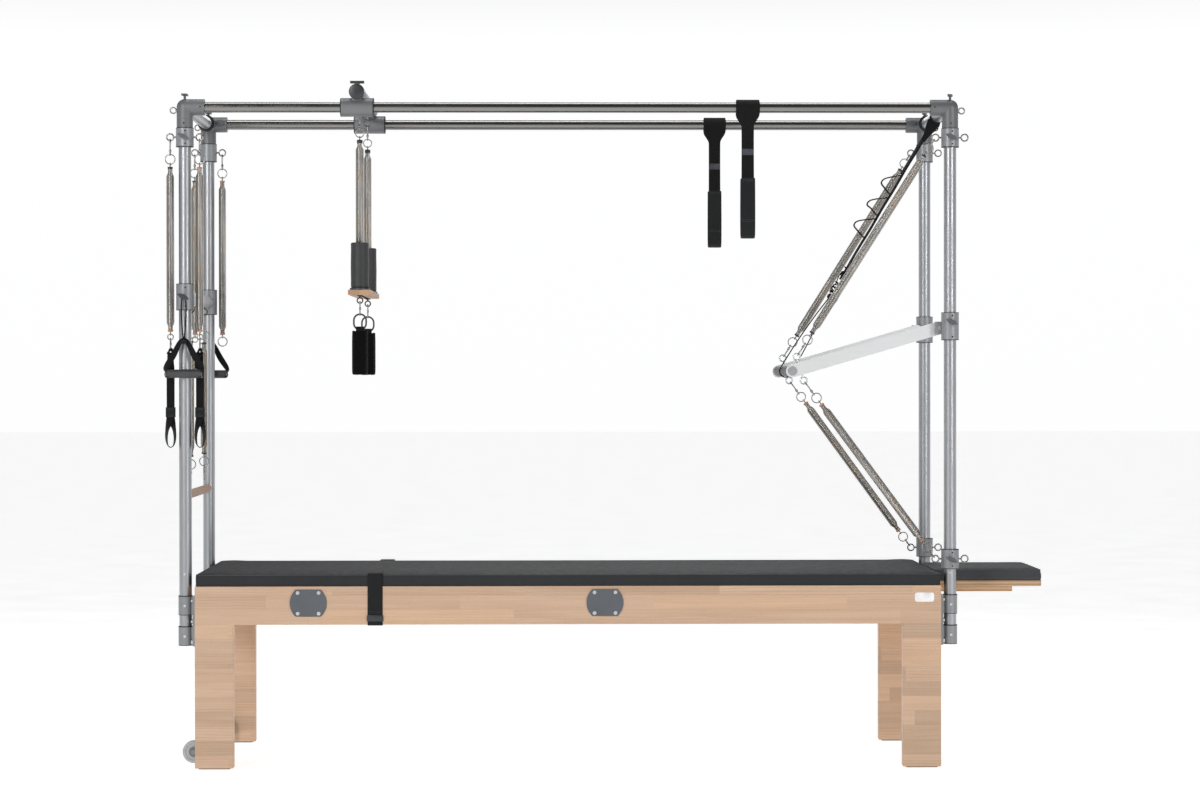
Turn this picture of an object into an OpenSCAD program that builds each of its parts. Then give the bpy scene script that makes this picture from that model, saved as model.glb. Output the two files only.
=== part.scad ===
// Pilates trapeze table: a wooden padded bench under a tubular frame with a
// sliding trapeze, a sprung push bar, a height-adjustable spring bar, hanging
// springs, loops, handles and straps. Millimetres, +Z up, origin on the floor
// under the centre of the bench, +X towards the push bar end.

/* [Bench] */
// Length of the bench
table_l = 2390; // [2200:10:2500]
// Width of the bench
table_w = 730; // [710:5:760]
// Height of the bench's wooden top edge
wood_top = 585; // [560:1:600]
// Thickness of the pad
pad_t = 39; // [30:1:50]
// Width of the legs and depth of the long rail of a side panel
board_w = 123; // [100:1:140]
// Thickness of the side panels
panel_t = 40; // [30:1:45]
// Thickness of the plywood deck
deck_t = 15; // [12:1:15]
// How far the end leaf reaches past the bench
leaf_l = 355; // [250:5:380]
// Width of the end leaf
leaf_w = 356; // [300:2:400]

/* [Frame] */
// Outer diameter of the four posts
post_d = 40; // [38:1:42]
// Outer diameter of the two long rails
rail_d = 34; // [30:1:36]
// Distance of the post axes from the middle, along the bench
post_x = 1229; // [1224:1:1240]
// Distance of the post axes from the middle, across the bench
post_y = 320; // [316:1:324]
// Height of the long rails' axes
rail_z = 2119; // [2100:1:2150]
// Outer diameter of the corner fittings
corner_d = 52; // [50:1:56]
// Outer diameter of the clamp collars
collar_d = 57; // [54:1:58]

/* [Springs] */
// Outer diameter of the hanging springs
spring_d = 25; // [20:1:26]
// Outer diameter of the trapeze springs
trap_spring_d = 27.6; // [24:0.2:28]
// Outer radius of the ring at a spring's end
ring_r = 15.5; // [13:0.5:16]
// Wire radius of rings and hooks
wire = 2; // [1.6:0.1:2.2]

/* [Trapeze] */
// Place of the carriage along the rails
carriage_x = -677; // [-900:1:200]
// Half distance between the trapeze springs
trap_y = 200; // [180:1:210]
// Width of the trapeze board
board_x = 74; // [60:1:80]
// Length of the trapeze board
board_y = 464; // [440:2:480]

/* [Push bar] */
// Height of the push bar's pivot
pivot_z = 1411; // [1400:1:1420]
// Distance of the pivot from the middle
pivot_x = 1197; // [1195:1:1199]
// Length of the arms from pivot to hand bar
arm_l = 493; // [450:1:520]
// Angle of the arms below level
arm_a = 16.3; // [5:0.1:25]

/* [Spring bar and leaf] */
// Height of the movable cross bar at the left end
bar_z = 1511; // [1500:1:1520]
// Height of the wooden roll-down bar
dowel_z = 875; // [870:1:880]

/* [Hidden] */
$fn = 48;

pad_z = wood_top + pad_t;
hx = table_l / 2;
hy = table_w / 2;
foot_t = 3;
rail_under = wood_top - board_w;
post_r = post_d / 2;
rail_r = rail_d / 2;
corner_r = corner_d / 2;
collar_r = collar_d / 2;
post_low = 395;
arm_t = 8;
arm_h = 42;
arm_y = 286.7;
arm_s = 467;
eye_r = 11;
eye_w = 2.4;
eye_out = 47;
top_eye_z = 2023;
low_eye_z = 667;
tube_z = rail_z + 48;
tube_r = 25;
trap_eye_z = tube_z - tube_r - 29;
trap_top = 2023;
board_z = 1520;
board_t = 17.5;
cuff_eye_z = 1503;
strap_x = [577, 506];
belt_x = -619;
belt_w = 48;
wheel_x = -1204;
wheel_z = 50.5;
wheel_r = 36.4;

wood = [0.80, 0.67, 0.54];
dark = [0.27, 0.28, 0.29];
silver = [0.72, 0.73, 0.74];
grey = [0.60, 0.61, 0.62];
fitting = [0.44, 0.45, 0.46];
black = [0.09, 0.09, 0.10];
foam = [0.28, 0.28, 0.29];
steel = [0.55, 0.54, 0.52];

// ---- small shapes ------------------------------------------------------

// Ring round Y: its hole looks along Y
module ring_y(R, r) rotate([90, 0, 0]) rotate_extrude($fn = 48) translate([R, 0]) circle(r = r, $fn = 24);
// Ring round X
module ring_x(R, r) rotate([0, 90, 0]) rotate_extrude($fn = 48) translate([R, 0]) circle(r = r, $fn = 24);

// Long closed link in the YZ plane, centre lines from z0 up to z1
module link_yz(z0, z1, R, r) {
  rotate([0, 0, 90]) {
    translate([0, 0, z1 - R]) rotate([90, 0, 0]) rotate_extrude(angle = 180, $fn = 48) translate([R, 0]) circle(r = r, $fn = 24);
    translate([0, 0, z0 + R]) rotate([-90, 0, 0]) rotate_extrude(angle = 180, $fn = 48) translate([R, 0]) circle(r = r, $fn = 24);
    for (s = [-1, 1]) translate([s * R, 0, z0 + R]) cylinder(h = z1 - z0 - 2 * R, r = r);
  }
}

// Eyebolt along +X: shank from x0, ring centre at x1
module eyebolt_x(x0, x1, R = 11, r = 2.4) {
  translate([x1, 0, 0]) ring_y(R, r);
  translate([x0, 0, 0]) rotate([0, 90, 0]) cylinder(h = x1 - R - x0, r = 3);
}
// Eyebolt along -Z: shank from z0 down, ring centre at z1
module eyebolt_down(z0, z1, R = 11, r = 2.4) {
  translate([0, 0, z1]) ring_y(R, r);
  translate([0, 0, z1 + R]) cylinder(h = z0 - z1 - R, r = 3);
}

// Body of a coil spring along Z, wound down to a neck at both ends
module coil_body(z0, z1, r, rn = 8, band = 7, tap = 24)
  rotate_extrude($fn = 48) polygon([[0, z0], [rn, z0], [rn, z0 + band], [r, z0 + band + tap],
    [r, z1 - band - tap], [rn, z1 - band], [rn, z1], [0, z1]]);

// Hook and ring that join a spring to an eye at the origin: the spring starts g below
module end_set(g, R = 15.5) {
  rc = g - 9.8 - R;
  link_yz(-(rc - R), -6.2, 5.5, wire);
  translate([0, 0, -rc]) ring_y(R, 1.8);
  translate([0, 0, -g - 1]) cylinder(h = g + 1 - rc - R, r = 2);
}

// Spring with both end sets between the eyes P and Q, in a plane of constant Y at each end
module hooked_spring(P, Q, g1, g2, r) {
  d = Q - P;
  a = atan2(d[0], -d[2]);
  L = norm([d[0], d[2]]);
  slip = atan2(d[1], L);
  translate(P) rotate([0, -a, 0]) end_set(g1);
  translate(Q) rotate([0, 180 - a, 0]) end_set(g2);
  translate(P) rotate([0, -a, 0]) rotate([slip, 0, 0]) coil_body(-L + g2, -g1, r);
}

// Clamp collar round the Z axis
module collar(h, bore) difference() {
  cylinder(h = h, r = collar_r);
  translate([0, 0, -1]) cylinder(h = h + 2, r = bore);
}

// Wing screw along +X from x0, with a slanted leaf-shaped wing
module wing(x0, stem = 14) {
  translate([x0, 0, 0]) rotate([0, 90, 0]) cylinder(h = stem + 2, r = 4);
  translate([x0 + stem, 0, 0]) rotate([0, 90, 0]) cylinder(h = 8, r = 6);
  translate([x0 + stem + 1, 0, 0]) rotate([-25, 0, 0]) intersection() {
    translate([0, 0, -26]) rotate([0, 90, 0]) cylinder(h = 6, r = 33.6);
    translate([0, 0, 26]) rotate([0, 90, 0]) cylinder(h = 6, r = 33.6);
  }
}

// Flat strip from P to Q in an XZ plane, w wide along Y and t thick
module strip(P, Q, w, t) {
  d = Q - P;
  translate(P) rotate([0, -atan2(d[0], -d[2]), 0]) translate([-t / 2, -w / 2, -norm(d)]) cube([t, w, norm(d)]);
}

// Tube along Z
module tube(h, r, ri) difference() {
  cylinder(h = h, r = r);
  translate([0, 0, -1]) cylinder(h = h + 2, r = ri);
}

// ---- bench -------------------------------------------------------------

module side_panel(s) color(wood)
  translate([0, s * (hy - panel_t / 2), 0]) difference() {
    translate([-hx, -panel_t / 2, foot_t]) cube([table_l, panel_t, wood_top - foot_t]);
    translate([-hx + board_w, -panel_t, -1]) cube([table_l - 2 * board_w, panel_t * 2, rail_under + 1]);
  }
module side_panel_near() side_panel(-1);
module side_panel_far() side_panel(1);

module cross_members() color(wood) {
  w = table_w - 2 * panel_t;
  translate([-hx, -w / 2, rail_under]) cube([panel_t, w, board_w]);
  difference() {
    translate([hx - panel_t, -w / 2, rail_under]) cube([panel_t, w, board_w]);
    for (s = [-1, 1]) translate([hx - panel_t - 1, s * 110 - 20.5, wood_top - 37.5]) cube([panel_t + 2, 41, 21]);
  }
  for (x = [-800, -400, 0, 400, 780]) translate([x - 35, -w / 2, wood_top - deck_t - 60]) cube([70, w, 60]);
}

module deck() color(wood) {
  w = table_w - 2 * panel_t;
  translate([-hx + panel_t, -w / 2, wood_top - deck_t]) cube([table_l - 2 * panel_t, w, deck_t]);
}

module mat_pad() color(dark) {
  r = 16;
  translate([-hx + r, -hy, wood_top]) cube([table_l - 2 * r, table_w, pad_t]);
  translate([-hx, -hy + r, wood_top]) cube([table_l, table_w - 2 * r, pad_t]);
  for (i = [-1, 1], j = [-1, 1]) translate([i * (hx - r), j * (hy - r), wood_top]) cylinder(h = pad_t, r = r);
}

module foot_pads() color(black)
  for (i = [-1, 1], j = [-1, 1])
    translate([i * (hx - board_w / 2) - 50, j * (hy - panel_t / 2) - 15, 0]) cube([100, 30, foot_t]);

module badge_plates() color([0.38, 0.39, 0.42])
  for (x = [-832.5, 116]) translate([x, -hy, (wood_top + rail_under) / 2 + 8]) intersection() {
    rotate([90, 0, 0]) cylinder(h = 3, r = 59);
    translate([-60, -4, -43]) cube([120, 5, 86]);
  }

module badge_screws() color(silver)
  for (x = [-832.5, 116], i = [-1, 1], j = [-1, 1])
    translate([x + i * 33.5, -hy - 3, (wood_top + rail_under) / 2 + 8 + j * 33]) rotate([90, 0, 0]) {
      cylinder(h = 1.6, r = 6);
      cylinder(h = 2.8, r = 4.2);
    }

module post_brackets() color(grey)
  for (i = [-1, 1], j = [-1, 1]) translate([i * post_x, j * post_y, 0]) mirror([i > 0 ? 1 : 0, 0, 0]) difference() {
    union() {
      translate([post_x - hx - 8, -35, 393]) cube([8, 70, 160]);
      for (z = [post_low, 493]) {
        translate([0, 0, z]) cylinder(h = 58, r = 23);
        translate([10, -12, z]) cube([post_x - hx - 10 - 4, 24, 58]);
      }
    }
    translate([0, 0, 380]) cylinder(h = 200, r = post_r);
    for (p = [[j * 25, 408], [-25, 472], [25, 472], [-25, 538], [25, 538]])
      translate([post_x - hx - 9, p[0], p[1]]) rotate([0, 90, 0]) cylinder(h = 10, r = 4);
  }

module bracket_bolts() color(silver)
  for (i = [-1, 1], j = [-1, 1]) {
    for (p = [[j * 25, 408], [-25, 472], [25, 472], [-25, 538], [25, 538]]) translate([i * (hx + 8), j * post_y + p[0], p[1]]) {
      rotate([0, i * 90, 0]) cylinder(h = 5, r = 7.5, $fn = 6);
      rotate([0, -i * 90, 0]) cylinder(h = 34, r = 4);
    }
    for (p = [[23, 424], [23, 522], [20, 623]]) translate([i * post_x, j * (post_y + p[0]), p[1]]) rotate([-j * 90, 0, 0]) {
      cylinder(h = 2, r = 4.5);
      translate([0, 0, -2.8]) cylinder(h = 3, r = 2.5);
    }
  }

// ---- tubular frame -----------------------------------------------------

module posts() color(silver)
  for (i = [-1, 1], j = [-1, 1]) translate([i * post_x, j * post_y, post_low]) tube(rail_z - 20 - post_low, post_r, 17);

module rails() color(steel)
  for (j = [-1, 1]) translate([-post_x + 20, j * post_y, rail_z]) rotate([0, 90, 0]) tube(2 * post_x - 40, rail_r, 14.5);

module top_crossbars() color(silver)
  for (i = [-1, 1]) translate([i * post_x, post_y - 20, rail_z]) rotate([90, 0, 0]) tube(2 * post_y - 40, post_r, 17);

module corner_fittings() color(fitting)
  for (i = [-1, 1], j = [-1, 1]) translate([i * post_x, j * post_y, rail_z]) difference() {
    union() {
      sphere(r = corner_r);
      rotate([0, -i * 90, 0]) cylinder(h = 64, r = corner_r);
      rotate([j * 90, 0, 0]) cylinder(h = 64, r = corner_r);
      translate([0, 0, -66]) cylinder(h = 66, r = corner_r);
    }
    rotate([0, -i * 90, 0]) translate([0, 0, 20]) cylinder(h = 60, r = rail_r);
    rotate([j * 90, 0, 0]) translate([0, 0, 20]) cylinder(h = 60, r = post_r);
    translate([0, 0, -80]) cylinder(h = 60, r = post_r);
  }

module bumper_rings() color(black)
  for (i = [-1, 1], j = [-1, 1]) {
    translate([i * post_x, j * (post_y - 64), rail_z]) rotate([j * 90, 0, 0]) tube(7, 28.5, post_r);
    translate([i * post_x, j * post_y, rail_z - 68]) tube(2, corner_r + 1, post_r);
  }

module top_collars() color(grey)
  for (i = [-1, 1], j = [-1, 1]) translate([i * post_x, j * post_y, 1993]) collar(58, post_r);

module low_collars() color(grey)
  for (j = [-1, 1]) translate([post_x, j * post_y, 637]) collar(60, post_r);

module pivot_collars() color(grey)
  for (j = [-1, 1]) translate([post_x, j * post_y, 0]) difference() {
    union() {
      translate([0, 0, 1373]) cylinder(h = 86, r = collar_r);
      translate([pivot_x - post_x - 14, j > 0 ? -29 : 7, pivot_z - 20]) cube([34, 22, 40]);
    }
    translate([0, 0, 1360]) cylinder(h = 110, r = post_r);
    translate([pivot_x - post_x, j > 0 ? -6 : 30, pivot_z]) rotate([90, 0, 0]) cylinder(h = 24, r = 6.05);
  }

module fixed_eyebolts() color(steel)
  for (i = [-1, 1], j = [-1, 1]) {
    translate([i * post_x, j * post_y, top_eye_z]) for (s = [0, 180]) rotate([0, 0, s]) eyebolt_x(collar_r - 5, eye_out);
    translate([i * post_x, j * post_y, rail_z - 10]) rotate([0, 0, i > 0 ? 0 : 180]) eyebolt_x(corner_r - 5, corner_r + 11, 9.5, 2.2);
    if (i > 0) translate([i * post_x, j * post_y, low_eye_z]) for (s = [0, 180]) rotate([0, 0, s]) eyebolt_x(collar_r - 5, eye_out);
  }

module clamp_knobs() color(black) {
  for (i = [-1, 1], j = [-1, 1]) {
    translate([i * post_x, j * post_y, top_eye_z]) rotate([0, 0, j * 90]) wing(collar_r - 4);
    translate([i * post_x, j * post_y, rail_z]) rotate([0, -90, 0]) wing(corner_r - 4);
    translate([i * (post_x - 44), j * (post_y - corner_r + 3), rail_z + 4]) rotate([j * 90, 0, 0]) cylinder(h = 10, r = 11);
  }
  for (j = [-1, 1]) {
    translate([post_x, j * post_y, low_eye_z]) rotate([0, 0, j * 90]) wing(collar_r - 4);
    translate([post_x, j * post_y, 1430]) rotate([0, 0, j * 90]) wing(collar_r - 4);
  }
}

module body_belt() color(black)
  translate([belt_x - belt_w / 2, 0, 0]) difference() {
    translate([0, -hy - 3.2, rail_under - 3.2]) cube([belt_w, table_w + 6.4, pad_z - rail_under + 6.4]);
    translate([-1, -hy - 0.2, rail_under - 0.2]) cube([belt_w + 2, table_w + 0.4, pad_z - rail_under + 0.4]);
  }

module wheel_brackets() color(grey)
  for (j = [-1, 1]) translate([0, j * (hy - panel_t), 0]) mirror([0, j > 0 ? 1 : 0, 0]) {
    translate([-1163, 0, 26]) cube([20, 34, 50]);
    translate([-1222, 34, 26]) cube([79, 5, 50]);
    translate([wheel_x, 35, wheel_z]) rotate([90, 0, 0]) cylinder(h = 32, r = 5);
    translate([wheel_x, 4.5, wheel_z]) rotate([90, 0, 0]) cylinder(h = 3, r = 8);
  }

module safety_strap() color(black) {
  G = [pivot_x - arm_l * cos(arm_a), 0, pivot_z - arm_l * sin(arm_a)];
  C = [post_x, 0, rail_z];
  a = atan2(G[0] - C[0], -(G[2] - C[2]));
  L = norm(C - G);
  translate(C) rotate([90, 0, 0]) translate([0, 0, -12.5]) tube(25, 23, post_r + 0.3);
  translate(G) rotate([90, 0, 0]) translate([0, 0, -12.5]) tube(25, 20, 17.4);
  translate(C) rotate([0, -a, 0]) translate([-1.5, -12.5, -L + 18.5]) cube([3, 25, L - 18.5 - 21.5]);
}

// ---- push bar ----------------------------------------------------------

module at_pivot(j) translate([pivot_x, j * arm_y, pivot_z]) rotate([0, -arm_a, 0]) children();
function arm_eye(j, s) = [pivot_x - arm_s * cos(arm_a) - s * 40 * sin(arm_a), j * arm_y,
  pivot_z - arm_s * sin(arm_a) + s * 40 * cos(arm_a)];

module push_arms() color(silver)
  for (j = [-1, 1]) at_pivot(j) rotate([90, 0, 0]) difference() {
    union() {
      translate([-arm_l, -arm_h / 2, -arm_t / 2]) cube([arm_l, arm_h, arm_t]);
      for (x = [0, -arm_l]) translate([x, 0, -arm_t / 2]) cylinder(h = arm_t, r = arm_h / 2);
    }
    translate([0, 0, -arm_t]) cylinder(h = 2 * arm_t, r = 6.02);
    translate([-arm_l, 0, -arm_t]) cylinder(h = 2 * arm_t, r = 5.02);
  }

module push_tube() color(silver)
  at_pivot(0) translate([-arm_l, arm_y - arm_t / 2, 0]) rotate([90, 0, 0]) tube(2 * arm_y - arm_t, 12.5, 5.02);

module push_grip() color(foam)
  at_pivot(0) translate([-arm_l, 276, 0]) rotate([90, 0, 0]) tube(552, 17, 12.5);

module push_bar_bolts() color(silver)
  for (j = [-1, 1]) at_pivot(j) {
    rotate([j * 90, 0, 0]) translate([0, 0, -24.3]) cylinder(h = 28.3, r = 6);
    rotate([j * 90, 0, 0]) translate([0, 0, 4]) cylinder(h = 5, r = 10);
    translate([-arm_l, 0, 0]) rotate([j * 90, 0, 0]) {
      translate([0, 0, -4]) cylinder(h = 50, r = 5);
      translate([0, 0, -6]) cylinder(h = 2, r = 15);
      translate([0, 0, -10]) cylinder(h = 4, r = 8);
    }
    for (s = [0, 180]) translate([-arm_s, 0, 0]) rotate([0, s, 0]) eyebolt_down(-16, -40);
  }

module upper_springs() color(steel)
  for (j = [-1, 1]) hooked_spring([post_x - eye_out, j * post_y, top_eye_z], arm_eye(j, 1), 67, 90, 13);

module lower_springs() color(steel)
  for (j = [-1, 1]) hooked_spring(arm_eye(j, -1), [post_x - eye_out, j * post_y, low_eye_z], 95, 71, 13);

// ---- carriage and trapeze ----------------------------------------------

module carriage_frame() color(fitting) difference() {
  union() {
    for (j = [-1, 1]) {
      translate([carriage_x - 52, j * post_y, rail_z]) rotate([0, 90, 0]) cylinder(h = 104, r = 30);
      translate([carriage_x - 16, j * post_y - 22, rail_z]) cube([32, 44, 40]);
    }
    translate([carriage_x, 348, tube_z]) rotate([90, 0, 0]) cylinder(h = 696, r = tube_r);
  }
  for (j = [-1, 1]) translate([carriage_x - 60, j * post_y, rail_z]) rotate([0, 90, 0]) cylinder(h = 120, r = rail_r + 0.3);
  translate([carriage_x, 350, tube_z]) rotate([90, 0, 0]) cylinder(h = 700, r = tube_r - 4);
  translate([carriage_x, -post_y, rail_z]) cylinder(h = 90, r = 4.5);
}

module carriage_eyebolts() color(dark)
  translate([carriage_x, 0, 0]) for (j = [-1, 1]) {
    translate([0, j * trap_y, 0]) eyebolt_down(tube_z - tube_r + 6, trap_eye_z);
    translate([0, j * 330, tube_z]) rotate([-j * 90, 0, 0]) cylinder(h = 18, r = tube_r - 4);
    translate([0, j * 348, tube_z]) rotate([-j * 90, 0, 0]) cylinder(h = 4, r = tube_r);
  }

module lock_pin() color(dark) translate([carriage_x, -post_y, 0]) {
  translate([0, 0, rail_z + rail_r + 0.7]) cylinder(h = 60, r = 4);
  translate([0, 0, tube_z + tube_r + 1]) cylinder(h = 6, r = 8);
  translate([-22.5, -6, tube_z + tube_r + 4]) cube([45, 12, 8]);
}

module trapeze_springs() color(steel)
  for (j = [-1, 1]) translate([carriage_x, j * trap_y, 0]) {
    translate([0, 0, trap_eye_z]) end_set(trap_eye_z - trap_top, 13.5);
    coil_body(1556, trap_top, trap_spring_d / 2);
  }

module trapeze_foams() color(foam)
  for (j = [-1, 1]) translate([carriage_x, j * trap_y, board_z + board_t + 6.5]) tube(147, 30, trap_spring_d / 2 + 0.2);

module trapeze_board() color(wood) difference() {
  translate([carriage_x - board_x / 2, -board_y / 2, board_z]) cube([board_x, board_y, board_t]);
  for (j = [-1, 1]) translate([carriage_x, j * trap_y, board_z - 1]) cylinder(h = 30, r = 4);
}

module trapeze_bolts() color(black)
  for (j = [-1, 1]) translate([carriage_x, j * trap_y, 0]) {
    translate([0, 0, board_z + board_t]) cylinder(h = 6.5, r = 33);
    eyebolt_down(board_z + board_t + 1, cuff_eye_z, 9, 2.2);
    translate([0, 0, board_z - 3]) cylinder(h = 3, r = 9);
    translate([0, 0, board_z]) cylinder(h = 36, r = 4);
  }

module cuff(j) color(black) translate([carriage_x, j * trap_y, 0]) {
  link_yz(1456, cuff_eye_z - 4.4, 5.5, 2);
  rotate([0, 0, 90]) link_yz(1410, 1457, 19, 3);
  difference() {
    union() {
      translate([-20, -22, 1281]) cube([40, 44, 104]);
      for (z = [1281, 1385]) translate([0, 22, z]) rotate([90, 0, 0]) cylinder(h = 44, r = 20);
      translate([-8, -16, 1395]) cube([16, 32, 14]);
    }
    translate([-9, -30, 1281]) cube([18, 60, 104]);
    for (z = [1281, 1385]) translate([0, 30, z]) rotate([90, 0, 0]) cylinder(h = 60, r = 9);
  }
}
module cuff_near() cuff(-1);
module cuff_far() cuff(1);

// ---- movable cross bar at the left end ---------------------------------

module spring_bar() color(grey) translate([-post_x, 0, bar_z]) difference() {
  union() {
    for (j = [-1, 1]) translate([0, j * post_y, -41]) cylinder(h = 82, r = collar_r);
    translate([0, post_y, 0]) rotate([90, 0, 0]) cylinder(h = 2 * post_y, r = post_r);
  }
  for (j = [-1, 1]) translate([0, j * post_y, -50]) cylinder(h = 100, r = post_r + 0.3);
  translate([0, post_y, 0]) rotate([90, 0, 0]) cylinder(h = 2 * post_y, r = 17);
}

module spring_bar_fittings() color(dark) translate([-post_x, 0, bar_z])
  for (j = [-1, 1]) {
    translate([0, j * post_y, 0]) rotate([0, 0, j * 90]) wing(collar_r - 4, 22);
    translate([0, j * 180, 0]) eyebolt_down(-16, -36);
  }

module roll_springs() color(steel)
  for (j = [-1, 1]) {
    hooked_spring([-post_x, j * 180, bar_z - 36], [-post_x, j * 180, dowel_z + 27.4], 104, 93, 12.3);
    translate([-post_x, j * 180, dowel_z + 27.4]) ring_y(eye_r, eye_w);
    translate([-post_x, j * 180, dowel_z + 8]) cylinder(h = 8.4, r = 3);
  }

module roll_bar() color(wood) translate([-post_x, 0, dowel_z]) rotate([90, 0, 0]) rotate_extrude($fn = 48)
  polygon([[0, -275], [10, -275], [14, -271], [14, 271], [10, 275], [0, 275]]);

module handle_strap(j) color(black) translate([-post_x, j * 357.5, 0]) {
  rotate([0, 0, 90]) link_yz(bar_z - 131, bar_z + 5.8, 5.8, 1.5);
  translate([-9, -12.5, bar_z - 140]) cube([18, 25, 13]);
  for (s = [0, 1]) mirror([s, 0, 0]) {
    strip([5.5, 0, bar_z - 129], [59.6, 0, 1276], 24, 2.4);
    translate([58.2, -12.3, 1253]) cube([2.8, 24.6, 28]);
  }
}
module handle_near_strap() handle_strap(-1);
module handle_far_strap() handle_strap(1);

module handle_grip(j) color(foam) translate([-post_x - 54, j * 357.5, 1265]) rotate([0, 90, 0]) {
  tube(108, 14, 8);
  translate([0, 0, -2]) tube(2, 13.5, 8);
  translate([0, 0, 108]) tube(2, 13.5, 8);
}
module handle_near_grip() handle_grip(-1);
module handle_far_grip() handle_grip(1);

// ---- springs hanging from the left collars -----------------------------

module hanging_spring(x, j) color(steel) translate([x, j * post_y, top_eye_z]) {
  end_set(96);
  coil_body(-625, -96, spring_d / 2);
  translate([0, 0, -632]) cylinder(h = 8, r = 2);
  translate([0, 0, -640]) ring_y(9, 2);
}
module hanging_spring_1() hanging_spring(-post_x - eye_out, -1);
module hanging_spring_2() hanging_spring(-post_x + eye_out, -1);
module hanging_spring_3() hanging_spring(-post_x - eye_out, 1);
module hanging_spring_4() hanging_spring(-post_x + eye_out, 1);

module foot_loop(x) color(black) translate([x, -post_y, top_eye_z - 640]) {
  link_yz(-40, -4.6, 5.5, 2);
  translate([-8, -12.5, -50]) cube([16, 25, 13]);
  difference() {
    union() {
      translate([-11, -12.5, -330]) cube([22, 25, 285]);
      translate([0, 12.5, -338]) rotate([90, 0, 0]) cylinder(h = 25, r = 17);
    }
    translate([-8.2, -20, -330]) cube([16.4, 40, 276]);
    translate([0, 20, -338]) rotate([90, 0, 0]) cylinder(h = 40, r = 14);
  }
}
module foot_loop_1() foot_loop(-post_x - eye_out);
module foot_loop_2() foot_loop(-post_x + eye_out);

// ---- straps hanging from the long rails --------------------------------

module rail_sleeve(x, j) color(black)
  translate([x - 39, j * post_y, rail_z]) rotate([0, 90, 0]) tube(78, 20.6, rail_r + 0.3);
module rail_sleeve_near() rail_sleeve(strap_x[0], -1);
module rail_sleeve_far() rail_sleeve(strap_x[1], 1);

module slot_x(z0, z1, w, r) {
  for (z = [z0, z1]) translate([-w / 2, 0, z]) rotate([0, 90, 0]) cylinder(h = w, r = r);
  translate([-w / 2, -r, z0]) cube([w, 2 * r, z1 - z0]);
}
module rail_strap(x, j) color(black) translate([x, j * post_y, 0]) difference() {
  union() {
    slot_x(1725, rail_z, 38, 27);
    slot_x(1725, 1790, 48, 30);
  }
  slot_x(1725, rail_z, 60, 23.6);
}
module rail_strap_near() rail_strap(strap_x[0], -1);
module rail_strap_far() rail_strap(strap_x[1], 1);

// ---- wheels and end leaf -----------------------------------------------

module wheel(j) color(grey) translate([wheel_x, j * (hy - panel_t - 18), wheel_z]) rotate([90, 0, 0]) difference() {
  rotate_extrude($fn = 96) polygon([[0, -12], [16, -12], [17, -9], [26, -9], [27, -11], [34, -11],
    [wheel_r, -8.5], [wheel_r, 8.5], [34, 11], [27, 11], [26, 9], [17, 9], [16, 12], [0, 12]]);
  translate([0, 0, -20]) cylinder(h = 40, r = 5.06);
}
module wheel_near() wheel(-1);
module wheel_far() wheel(1);

module rounded_end(x0, x1, w, z0, h, r) {
  translate([x0, -w / 2, z0]) cube([x1 - x0 - r, w, h]);
  translate([x0, -w / 2 + r, z0]) cube([x1 - x0, w - 2 * r, h]);
  for (s = [-1, 1]) translate([x1 - r, s * (w / 2 - r), z0]) cylinder(h = h, r = r);
}

module leaf_board() color(wood) {
  rounded_end(hx + 1, hx + leaf_l, leaf_w, wood_top - 17, 19, 16);
  for (s = [-1, 1]) translate([hx - 210, s * 110 - 20, wood_top - 37]) cube([210 + leaf_l - 90, 40, 20]);
}

module leaf_pad() color(dark)
  rounded_end(hx + 1.5, hx + leaf_l, leaf_w, wood_top + 2, pad_t - 2, 16);

side_panel_near();
side_panel_far();
cross_members();
deck();
mat_pad();
foot_pads();
badge_plates();
badge_screws();
post_brackets();
bracket_bolts();
posts();
rails();
top_crossbars();
corner_fittings();
bumper_rings();
top_collars();
low_collars();
pivot_collars();
fixed_eyebolts();
clamp_knobs();
body_belt();
wheel_brackets();
safety_strap();
push_arms();
push_tube();
push_grip();
push_bar_bolts();
upper_springs();
lower_springs();
carriage_frame();
carriage_eyebolts();
lock_pin();
trapeze_springs();
trapeze_foams();
trapeze_board();
trapeze_bolts();
cuff_near();
cuff_far();
spring_bar();
spring_bar_fittings();
roll_springs();
roll_bar();
handle_near_strap();
handle_near_grip();
handle_far_strap();
handle_far_grip();
hanging_spring_1();
hanging_spring_2();
hanging_spring_3();
hanging_spring_4();
foot_loop_1();
foot_loop_2();
rail_sleeve_near();
rail_sleeve_far();
rail_strap_near();
rail_strap_far();
wheel_near();
wheel_far();
leaf_board();
leaf_pad();
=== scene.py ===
import math

import bmesh
import bpy
import numpy as np
from mathutils import Matrix, Vector


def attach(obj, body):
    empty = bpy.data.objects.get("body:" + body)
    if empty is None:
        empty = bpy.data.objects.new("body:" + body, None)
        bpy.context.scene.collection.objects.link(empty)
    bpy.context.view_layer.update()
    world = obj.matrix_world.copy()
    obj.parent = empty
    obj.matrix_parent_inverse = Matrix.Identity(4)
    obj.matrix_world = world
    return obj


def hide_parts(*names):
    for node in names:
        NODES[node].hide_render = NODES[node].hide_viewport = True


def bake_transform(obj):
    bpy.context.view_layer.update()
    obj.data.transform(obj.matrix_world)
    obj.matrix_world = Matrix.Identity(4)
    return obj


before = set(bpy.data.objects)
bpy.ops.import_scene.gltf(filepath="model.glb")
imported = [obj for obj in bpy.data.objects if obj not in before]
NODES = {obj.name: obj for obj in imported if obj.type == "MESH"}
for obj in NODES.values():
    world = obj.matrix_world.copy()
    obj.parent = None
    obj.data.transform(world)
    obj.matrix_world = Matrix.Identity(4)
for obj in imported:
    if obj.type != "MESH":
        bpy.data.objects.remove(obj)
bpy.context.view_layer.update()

scene = bpy.context.scene
pi = math.pi

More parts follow.
